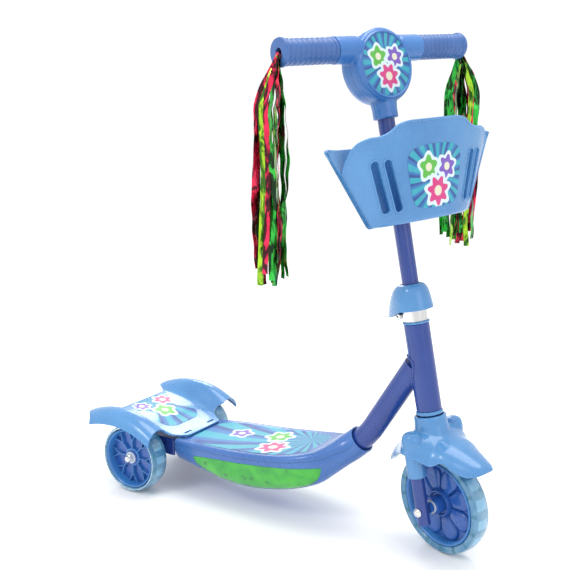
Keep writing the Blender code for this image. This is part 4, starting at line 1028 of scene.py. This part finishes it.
# ---- Wheels --------------------------------------------------------------------------------
def make_tyre(name, node, place, body, outer, inner, half, crown):
    """A clear tyre: bowed tread, soft shoulders and a thin lip where it grips the rim."""
    profile = [(inner, half * 0.80), (inner + 0.0012, half * 0.93), (inner + 0.0030, half * 0.99)]
    shoulder = outer - crown - 0.0030
    for k in range(9):
        angle = radians(8 + 74 * k / 8)
        profile.append((shoulder + 0.0030 * sin(angle), half * (0.90 + 0.09 * cos(angle))))
    swing = 0.9
    for k in range(-9, 10):
        bow = (1 - cos(swing * k / 9)) / (1 - cos(swing))
        profile.append((outer - crown * bow * 0.9 - 0.0001, -half * 0.84 * k / 9))
    profile += [(radius, -height) for radius, height in reversed(profile[:12])]
    bm = turn(profile, 128)
    return add_piece(name, bm, place, body, "clear_tyre", node)


def rim_ring(bm, rim, half, inner, web):
    """The barrel of a hub, with rounded lips; web is where its inside stops, front and back."""
    lip = 0.0012
    profile = [
        (rim, half * 0.78), (rim, -half * 0.78), (rim - 0.0008, -half * 0.90), (rim - 0.0022, -half * 0.94),
        (inner + lip, -half * 0.90), (inner, -half * 0.80), (inner - 0.0012, web),
        (inner - 0.0012, web + 0.0006), (inner, half * 0.80), (inner + lip, half * 0.90),
        (rim - 0.0022, half * 0.94), (rim - 0.0008, half * 0.90),
    ]
    turn(profile, 128, bm=bm)


PETALS, PETAL_REACH, PETAL_FULL = 8, (0.0182, 0.0532), 0.45


def petal_outline():
    """Half angle against radius: neighbours touch near the middle, then each tip rounds off."""
    low, high = PETAL_REACH
    widest = 0.97 * pi / PETALS
    side = [(low + (high - low) * PETAL_FULL * k / 6, widest) for k in range(6)]
    for k in range(13):
        angle = 0.5 * pi * k / 12
        reach = PETAL_FULL + (1 - PETAL_FULL) * sin(angle)
        side.append((low + (high - low) * reach, widest * cos(angle)))
    return side + [(radius, -half) for radius, half in side[-2::-1]]


def add_petal(bm, middle, floor, height, levels=8):
    """A swollen petal: its outline shrinks on its core as it rises to a soft crown."""
    core = 0.42 * PETAL_REACH[0] + 0.58 * PETAL_REACH[1]
    rings = []
    for n in range(levels + 1):
        rise = radians(86) * n / levels
        share = cos(rise) ** 0.6
        ring = []
        for radius, offset in petal_outline():
            reach, angle = core + (radius - core) * share, middle + offset * share
            ring.append((reach * cos(angle), reach * sin(angle), floor + height * sin(rise)))
        rings.append(ring)
    skin(rings, bm=bm)


def make_front_wheel():
    inner = 0.0537
    face = [
        (0.0076, 0.0068), (0.0098, 0.0068), (0.0106, 0.0076), (0.0116, 0.0078), (0.0124, 0.0068),
        (0.0138, 0.0068), (0.0150, 0.0086), (0.0162, 0.0098), (0.0174, 0.0096), (0.0183, 0.0078),
        (0.0190, 0.0034), (0.0198, 0.0014), (0.0260, 0.0012), (inner, 0.0012), (inner, 0.0002),
        (0.0076, 0.0002),
    ]
    for word, side in SIDES:
        bm = turn(face, 128)
        for n in range(PETALS):
            add_petal(bm, 2 * pi * (n + 0.5) / PETALS, 0.0010, 0.0066)
        place = FRONT_WHEEL if side > 0 else FRONT_WHEEL @ Matrix.Rotation(pi, 4, "X")
        tube_out = [(0.0118, 0.0216), (0.0112, 0.0220), (0.0075, 0.0220), (0.0075, 0.0060), (0.0122, 0.0060)]
        turn(tube_out, 64, bm=bm)
        add_piece(f"front_hub_face_{word}", bm, place, "front_wheel", "hub_plastic", crease=50)
    bm = bmesh.new()
    rim_ring(bm, 0.0582, 0.013, inner, 0.0)
    add_piece("front_hub_rim", bm, FRONT_WHEEL, "front_wheel", "hub_rib", "front_hub")
    make_tyre("front_tyre_clear", "front_tyre", FRONT_WHEEL, "front_wheel", 0.070, 0.0585, 0.013, 0.0022)


RIB_COUNT, RIB_FORK, RIB_WIDTH = 8, 0.026, 0.0010


def add_rib(bm, points, low, high):
    """A rib along a flat path, a little narrower at its top."""
    rings = []
    for k, point in enumerate(points):
        along = (points[min(k + 1, len(points) - 1)] - points[max(k - 1, 0)]).normalized()
        side = Vector((-along.y, along.x)) * RIB_WIDTH
        corners = ((side, low), (-side, low), (side * -0.7, high), (side * 0.7, high))
        rings.append([(point.x + shift.x, point.y + shift.y, z) for shift, z in corners])
    skin(rings, bm=bm)


def add_forked_rib(bm, middle):
    """One rib out of the boss that splits into two curved branches reaching the rim."""
    def at(radius, angle):
        return Vector((radius * cos(middle + angle), radius * sin(middle + angle)))

    spread = 0.27 * 2 * pi / RIB_COUNT
    add_rib(bm, [at(0.0130 + (RIB_FORK - 0.0130) * k / 4, 0) for k in range(5)], 0.0010, 0.0062)
    for way in (1, -1):
        branch = [
            at(RIB_FORK + (0.0428 - RIB_FORK) * k / 10, way * spread * (k / 10) ** 0.8) for k in range(11)
        ]
        add_rib(bm, branch, 0.0010, 0.0062)


def make_rear_wheels():
    inner = 0.0425
    face = [
        (0.0076, 0.0070), (0.0104, 0.0070), (0.0112, 0.0062), (0.0136, 0.0062), (0.0142, 0.0052),
        (0.0145, 0.0018), (0.0260, 0.0016), (inner, 0.0020), (inner, -0.0030), (0.0076, -0.0030),
    ]
    for word, place in REAR_WHEELS.items():
        body = f"rear_{word}_wheel"
        bm = turn(face, 128)
        for n in range(RIB_COUNT):
            add_forked_rib(bm, 2 * pi * n / RIB_COUNT)
        turn([(0.0112, -0.0165), (0.0075, -0.0165), (0.0075, -0.0028), (0.0112, -0.0028)], 64, bm=bm)
        boss = [(0.0108, 0.0082), (0.0104, 0.0085), (0.0075, 0.0085), (0.0075, 0.0010), (0.0108, 0.0010)]
        turn(boss, 64, bm=bm)
        hub = add_piece(f"rear_hub_face_{word}", bm, place, body, "hub_plastic hub_rib", crease=50)
        for part in hub.data.polygons:
            if part.center.z > 0.0024 and part.center.xy.length > 0.0116:
                part.material_index = 1
        bm = bmesh.new()
        rim_ring(bm, 0.0467, 0.0165, inner, -0.0030)
        name = f"rear_hub_rim_{word}"
        add_piece(name, bm, place, body, "hub_rib", f"rear_hub_{word}")
        make_tyre(f"rear_tyre_clear_{word}", f"rear_tyre_{word}", place, body, 0.054, 0.047, 0.0165, 0.0026)


# ---- Front fender --------------------------------------------------------------------------
FENDER = [  # forward, half width, top, hem
    (-0.0860, 0.0065, 0.1215, 0.1175), (-0.0800, 0.0105, 0.1315, 0.1225), (-0.0680, 0.0165, 0.1435, 0.1285),
    (-0.0500, 0.0240, 0.1570, 0.1365), (-0.0300, 0.0380, 0.1690, 0.1440), (-0.0130, 0.0500, 0.1750, 0.1490),
    (0.0000, 0.0525, 0.1765, 0.1490), (0.0130, 0.0490, 0.1740, 0.1430), (0.0270, 0.0400, 0.1655, 0.1350),
    (0.0410, 0.0335, 0.1590, 0.1390), (0.0550, 0.0295, 0.1510, 0.1290), (0.0700, 0.0245, 0.1425, 0.1225),
    (0.0820, 0.0170, 0.1355, 0.1225), (0.0890, 0.0080, 0.1295, 0.1250),
]
SLEEVE_R, SLEEVE_LOW = 0.0122, 0.1180


def fender_ring(station, inset=0.0, hem_drop=0.0):
    """Half an oval over the hem; a hollow's ring also runs straight down below it."""
    forward, half_width, top, hem = station
    wide, count = half_width - inset, 28
    points = []
    for k in range(count + 1):
        angle = pi - pi * k / count
        points.append((forward, wide * cos(angle), hem + (top - inset - hem) * sin(angle)))
    if hem_drop:
        points = [(forward, -wide, hem - hem_drop)] + points + [(forward, wide, hem - hem_drop)]
    return points


def make_front_fender():
    """Hood, collar and leg sleeves run into each other, then the inside is hollowed out."""
    stations = refined(FENDER, 5)
    collar = [(0.0, 0.1918), (0.0213, 0.1918), (0.0224, 0.180), (0.0245, 0.166), (0.0, 0.164)]
    parts = [shape(skin([fender_ring(station) for station in stations])), shape(turn(collar, 64, ring=False))]
    sleeve = [
        (0.0, 0.1790), (0.0050, 0.1785), (0.0095, 0.1765), (0.0125, 0.1725), (0.0135, 0.1660),
        (0.0124, 0.1500), (SLEEVE_R, SLEEVE_LOW), (0.0, SLEEVE_LOW),
    ]
    for _, side in SIDES:
        parts.append(shape(turn(sleeve, 48, ring=False, place=Matrix.Translation((0, side * LEG_Y, 0)))))
    bm = fused(parts, 0.0012, 4)
    fender = add_piece("front_mudguard", bm, STEERING, "steering", "sky_plastic", "front_fender", crease=60)
    inside = [fender_ring(station, SHELL, 0.05) for station in stations[10:-5]]
    combined(fender, [shape(skin(inside), STEERING)])
    tubes, cutters = [], [shape(sweep([(0, 0, 0.15), (0, 0, 0.20)], 0.0185, 64), STEERING)]
    cutters.append(shape(sweep([(0, -LEG_Y, CROWN_Z), (0, LEG_Y, CROWN_Z)], LEG_R + 0.0010, 48), STEERING))
    for _, side in SIDES:
        y = side * LEG_Y
        tube = [(0.0, 0.160), (0.0120, 0.160), (0.0120, SLEEVE_LOW + 0.0002), (0.0, SLEEVE_LOW + 0.0002)]
        tubes.append(shape(turn(tube, 64, ring=False, place=Matrix.Translation((0, y, 0))), STEERING))
        cutters.append(shape(sweep([(0, y, 0.07), (0, y, 0.1675)], LEG_R + 0.0010, 48), STEERING))
    combined(fender, tubes, "UNION")
    combined(fender, cutters)
    modifier(fender, "WEIGHTED_NORMAL", keep_sharp=True)
    finish_shading(fender, 45)


# ---- Dashboard, grips ----------------------------------------------------------------------
DASH_Z, FACE_R = 0.650, 0.0395


def make_dash():
    """Drum, arms and neck flow into each other; the halves meet on the plane of the bar."""
    drum = [(0.0, 0.0160), (0.0400, 0.0160), (0.0450, 0.0152), (0.0472, 0.0120), (0.0481, 0.0060)]
    drum += [(0.0481, -0.0110), (0.0462, -0.0180), (0.0400, -0.0225), (0.0280, -0.0245), (0.0, -0.0250)]
    neck = [  # height, reach ahead, reach to the side
        (0.5965, 0.0163, 0.0163), (0.6040, 0.0160, 0.0180), (0.6120, 0.0158, 0.0225),
        (0.6220, 0.0156, 0.0280), (0.6300, 0.0150, 0.0300),
    ]
    circle = [(cos(2 * pi * k / 64), sin(2 * pi * k / 64)) for k in range(64)]
    parts = [
        shape(turn(drum, 96, ring=False, place=aim((0, 0, DASH_Z), FORWARD))),
        shape(skin([[(ahead * c, wide * s, z) for c, s in circle] for z, ahead, wide in neck])),
        shape(turn([(0.0, 0.5990), (0.0162, 0.5990), (0.0162, 0.5832), (0.0, 0.5832)], 64, ring=False)),
    ]
    for _, side in SIDES:
        parts.append(shape(sweep([(0, side * 0.0360, BAR_Z), (0, side * 0.0722, BAR_Z)], 0.0172, 48)))
    whole = fused(parts, 0.0011, 5)
    keep = {"front": (1, "dash_front_shell"), "back": (-1, "dash_back_shell")}
    for word, (way, node) in keep.items():
        bm = whole.copy()
        geometry = bm.verts[:] + bm.edges[:] + bm.faces[:]
        cut_at, normal = (0.0002 * way, 0, 0), (-way, 0, 0)
        made = bmesh.ops.bisect_plane(bm, geom=geometry, plane_co=cut_at, plane_no=normal, clear_outer=True)
        edges = [item for item in made["geom_cut"] if isinstance(item, bmesh.types.BMEdge)]
        bmesh.ops.triangle_fill(bm, use_beauty=True, edges=edges)
        bmesh.ops.recalc_face_normals(bm, faces=bm.faces)
        if word == "front":
            rim = [
                (0.0398, 0.0130), (0.0398, 0.0160), (0.0406, 0.0172), (0.0420, 0.0174), (0.0434, 0.0160),
                (0.0440, 0.0140),
            ]
            turn(rim, 96, bm=bm, place=aim((0, 0, DASH_Z), FORWARD))
        name = f"dash_housing_{word}"
        add_piece(name, bm, STEERING, "handlebar_assembly", "dash_plastic", node, 50)
    whole.free()
    outline = [(FACE_R * cos(2 * pi * k / 96), FACE_R * sin(2 * pi * k / 96)) for k in range(96)]

    def lay(u, v):
        return (0.0162 + 0.0004 * (1 - (u * u + v * v) / FACE_R**2), u, DASH_Z + v)

    face = label("dash_label", outline, lay, STEERING, "handlebar_assembly", "dash_print")
    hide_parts("dash_face")


def make_grips():
    """Ribbed sleeves: each rib is a slanted crest, and the end flares into a round cap."""
    profile = [(0.0098, 0.0725), (0.0156, 0.0725), (0.0162, 0.0731), (0.0163, 0.0765)]
    ribs, first, pitch = 9, 0.0778, 0.0078
    for n in range(ribs):
        for k in range(8):
            share = k / 8
            swell = sin(pi * share ** 0.75) ** 1.4
            profile.append((0.0151 + 0.0013 * swell, first + (n + share) * pitch))
    profile += [
        (0.0157, 0.1487), (0.0170, 0.1496), (0.0177, 0.1510), (0.0178, 0.1532), (0.0171, 0.1546),
        (0.0160, 0.1550), (0.0057, 0.1550), (0.0056, 0.1485), (0.0098, 0.1485),
    ]
    for word, side in SIDES:
        place = STEERING @ aim((0, 0, BAR_Z), (0, side, 0))
        bm = turn(profile, 72)
        name = f"ribbed_grip_{word}"
        add_piece(name, bm, place, "handlebar_assembly", "grip_plastic", f"grip_{word}", crease=50)


# ---- Streamers -----------------------------------------------------------------------------
STRIPS = 17
STREAMER_DROP = 0.281


def strip_path(rng, out, across, where, drop):
    """One strip: a short stretch out of the plug, over in a tight bend, then down with sway."""
    reach_out, reach_across = where
    points, count = [], 44
    sway, phase, pace = rng.uniform(0.0012, 0.0032), rng.uniform(0, 6.28), rng.uniform(0.6, 1.3)
    splay = rng.uniform(-1, 1)
    for k in range(count + 1):
        share = k / count
        down = drop * share**1.15
        ease = blend_step(share, 0.0, 0.30)
        start = blend_step(share, 0.0, 0.035)
        outward = 0.0045 * start + reach_out * ease + 0.0015 * sin(11 * share * pace + phase) * ease
        sideways = reach_across * ease + sway * sin(8.5 * share * pace + phase * 1.7) * ease
        tail = blend_step(share, 0.86, 1.0)
        sideways += splay * 0.005 * tail
        hump = 0.0030 * sin(pi * min(share / 0.035, 1.0))
        points.append(out * outward + across * sideways - UP * (down - hump))
    return points


def add_strip(bm, rng, points, across, width, colour):
    """A thin crinkled ribbon along a path, with a slow twist."""
    twist, spin = rng.uniform(-0.7, 0.7), rng.uniform(-1.6, 1.6)
    thickness = 0.00022
    rows = []
    for k, point in enumerate(points):
        share = k / (len(points) - 1)
        along = (points[min(k + 1, len(points) - 1)] - points[max(k - 1, 0)]).normalized()
        side = (across - along * across.dot(along)).normalized()
        normal = along.cross(side)
        angle = twist + spin * share + 0.25 * sin(16 * share + twist * 5)
        wide = width * (0.62 + 0.38 * blend_step(share, 0.0, 0.10))
        flat = side * cos(angle) + normal * sin(angle)
        thin = (along.cross(flat)).normalized() * thickness
        pucker = 0.0008 * sin(52 * share + spin * 3)
        centre = point + thin.normalized() * pucker
        corners = ((-1, -1), (1, -1), (1, 1), (-1, 1))
        rows.append([bm.verts.new(centre + flat * wide * a + thin * b) for a, b in corners])
    faces = [bm.faces.new(rows[0][::-1]), bm.faces.new(rows[-1])]
    for low, high in zip(rows, rows[1:]):
        for i in range(4):
            j = (i + 1) % 4
            faces.append(bm.faces.new((low[i], low[j], high[j], high[i])))
    for face in faces:
        face.material_index = colour


def make_streamers():
    """Foil strips out of each grip's end. They hang plumb, so they are made in the CAD frame."""
    colours = (0, 1, 1, 0, 2, 1, 0, 1, 2, 1, 0, 1, 1, 0, 2, 1, 0)
    width, golden = 0.0040, 2.39996
    for word, side in SIDES:
        rng = random.Random(5 + side)
        end = STEERING @ Vector((0, side * 0.1535, BAR_Z - 0.004))
        out = (STEERING.to_3x3() @ Vector((0, side, 0))).normalized()
        out = (out - UP * out.dot(UP)).normalized()
        across = out.cross(UP).normalized()
        bm = bmesh.new()
        for n in range(STRIPS):
            spread = sqrt((n + 0.5) / STRIPS)
            angle = golden * n
            where = (0.009 + 0.0125 * spread * cos(angle), 0.0290 * spread * sin(angle))
            drop = STREAMER_DROP * rng.uniform(0.90, 0.985)
            points = [end + p for p in strip_path(rng, out, across, where, drop)]
            add_strip(bm, rng, points, across, width * rng.uniform(0.8, 1.15), colours[n])
        knot = [end - out * 0.0060, end + out * 0.0008, end + out * 0.0042]
        sweep(knot, [0.0052, 0.0054, 0.0040], 20, bm=bm)
        bundle = add_piece(
            f"foil_streamer_{word}", bm, IDENTITY, "handlebar_assembly", "foil_red foil_green foil_lime",
            f"streamers_{word}", crease=60,
        )


# ---- Basket --------------------------------------------------------------------------------
BASKET_BACK, BASKET_LOW, BASKET_WALL = 0.0172, 0.450, 0.0022
BASKET_RIM = [
    (1.000, 0.00, 0.5700), (0.994, 0.14, 0.5700), (0.978, 0.28, 0.5698), (0.950, 0.39, 0.5670),
    (0.915, 0.48, 0.5600), (0.870, 0.58, 0.5558), (0.800, 0.70, 0.5550), (0.700, 0.81, 0.5500),
    (0.580, 0.905, 0.5380), (0.455, 0.970, 0.5255), (0.390, 1.000, 0.5205), (0.385, 1.022, 0.5350),
    (0.375, 1.030, 0.5487), (0.230, 0.840, 0.5482), (0.080, 0.580, 0.5480), (0.000, 0.40, 0.5480),
    (0.000, 0.20, 0.5480), (0.000, 0.00, 0.5480),
]


def basket_point(forward, outward, z):
    """A point of the outer wall: the plan widens and deepens with height."""
    rise = (z - BASKET_LOW) / 0.078
    return (BASKET_BACK + (0.0480 + 0.0125 * rise) * forward, (0.0860 + 0.0410 * rise) * outward, z)


def front_wall(y, z):
    """The outer wall's place ahead of the stem at a given side distance and height."""
    low, high = 0.0, 9.0
    for _ in range(30):
        middle = 0.5 * (low + high)
        if basket_point(*through(BASKET_RIM, middle)[:2], z)[1] < abs(y):
            low = middle
        else:
            high = middle
    return basket_point(*through(BASKET_RIM, low)[:2], z)[0]


def basket_shell():
    half = refined(BASKET_RIM, 8)
    around = half + [(f, -o, z) for f, o, z in half[-2:0:-1]]
    middle = BASKET_BACK + 0.024
    rings = []
    levels = [0.0, 0.006, 0.014, 0.025, 0.040] + [0.04 + 0.96 * k / 20 for k in range(1, 21)]
    for share in levels:
        shrink = 1.0 - 0.060 * (1 - min(share / 0.040, 1.0)) ** 2.2
        ring = []
        for forward, outward, rim in around:
            x, y, z = basket_point(forward, outward, BASKET_LOW + (rim - BASKET_LOW) * share)
            x = middle + max(x - middle, 0.0) * shrink + min(x - middle, 0.0)
            ring.append((x, y * shrink, z))
        rings.append(ring)
    bm = skin(rings, caps=False)
    floor = [edge for edge in bm.edges if edge.is_boundary and edge.verts[0].co.z < BASKET_LOW + 0.0002]
    base = bmesh.ops.contextual_create(bm, geom=floor)["faces"]
    bmesh.ops.recalc_face_normals(bm, faces=bm.faces)
    if base[0].normal.z > 0:
        bmesh.ops.reverse_faces(bm, faces=bm.faces)
    return bm


SLOTS = [(0.058, 0.470, 0.073, 0.524), (0.074, 0.470, 0.090, 0.524)]
SLOT_R = 0.0048


def slot_outline(low_y, low_z, top_y, top_z, radius, steps=12):
    along = Vector((top_y - low_y, top_z - low_z)).normalized()
    side = Vector((-along.y, along.x))
    points = []
    for centre, sign in ((Vector((top_y, top_z)), 1), (Vector((low_y, low_z)), -1)):
        for k in range(steps + 1):
            angle = pi * k / steps
            points.append(centre + (along * sin(angle) - side * cos(angle)) * radius * sign)
    return points


def make_basket():
    basket = shape(basket_shell(), STEERING)
    modifier(basket, "SOLIDIFY", thickness=BASKET_WALL, offset=-1.0, use_even_offset=True)
    apply_all(basket)
    slots, lips = [], bmesh.new()
    for _, side in SIDES:
        for low_y, low_z, top_y, top_z in SLOTS:
            outline = slot_outline(side * low_y, low_z, side * top_y, top_z, SLOT_R)
            slots.append(shape(skin([[(x, p.x, p.y) for p in outline] for x in (0.031, 0.12)]), STEERING))
            lip = slot_outline(side * low_y, low_z, side * top_y, top_z, SLOT_R + 0.0009)
            sweep([(front_wall(p.x, p.y), p.x, p.y) for p in lip], 0.0012, 10, closed=True, bm=lips)
    combined(basket, slots)
    bm = taken(basket)
    body = "handlebar_assembly"
    item = add_piece("basket_moulding", bm, STEERING, body, "sky_plastic", "basket", crease=50)
    modifier(item, "BEVEL", width=0.0006, segments=2, limit_method="ANGLE", angle_limit=radians(60))
    add_piece("basket_slot_lips", lips, STEERING, body, "sky_plastic")
    rim = [basket_point(f, o, z) for f, o, z in refined(BASKET_RIM, 8)]
    rim += [(x, -y, z) for x, y, z in rim[-2:0:-1]]
    inner = [(x - 0.0008 if x > 0.03 else x, y * 0.992, z - 0.0006) for x, y, z in rim]
    add_piece("basket_rim_bead", sweep(inner, 0.0017, 10, closed=True), STEERING, body, "sky_plastic")


def make_basket_label():
    """The printed panel: straight sides that lean out, round corners and a crowned top."""
    middle_z, outline = 0.500, []
    for k in range(72):
        angle = 2 * pi * k / 72
        u = abs(cos(angle)) ** 0.40 * (1 if cos(angle) > 0 else -1)
        v = abs(sin(angle)) ** 0.40 * (1 if sin(angle) > 0 else -1)
        height = 0.036 * v + (0.0045 * (1 - u * u) if v > 0 else 0.0)
        outline.append((u * (0.0435 + 0.0055 * v), height))

    def lay(u, v):
        return (front_wall(u, middle_z + v) + 0.0003, u, middle_z + v)

    label("basket_label", outline, lay, STEERING, "handlebar_assembly", "basket_print")


# ---- CAD nodes that keep their shape get a finished material -------------------------------
KEPT = {
    "sky_plastic": "basket_clamp_lower basket_clamp_upper",
    "steel": "basket_screw_lower basket_screw_upper deck_screw_front_left deck_screw_front_right "
             "deck_screw_rear_left deck_screw_rear_right rear_axle",
    "hub_plastic": "front_spacer_left front_spacer_right",
    "nylon": "battery_pack front_bush_left front_bush_right "
             "rear_bush_left_inner rear_bush_left_outer rear_bush_right_inner rear_bush_right_outer "
             "rear_spacer_left rear_spacer_right",
    "frame_paint": "rear_bracket",
    "circuit": "lamp_board_left lamp_board_right",
    "cable": "lamp_wire_left lamp_wire_right",
    "deck_plastic": "battery_cover",
}


def dress_kept_nodes():
    for material, nodes in KEPT.items():
        for node in nodes.split():
            item = frame["nodes"][node]
            for slot in item.material_slots:
                slot.material = MATERIALS[material]


make_camera()
make_studio()
make_frame()
make_head_bushes()
make_fork()
make_front_axle()
make_bars()
make_clamp()
make_dome()
make_deck()
make_deck_label()
make_rear_fender()
make_saddle_label()
make_rear_nuts()
make_front_wheel()
make_rear_wheels()
make_front_fender()
make_dash()
make_grips()
make_streamers()
make_basket()
make_basket_label()
dress_kept_nodes()
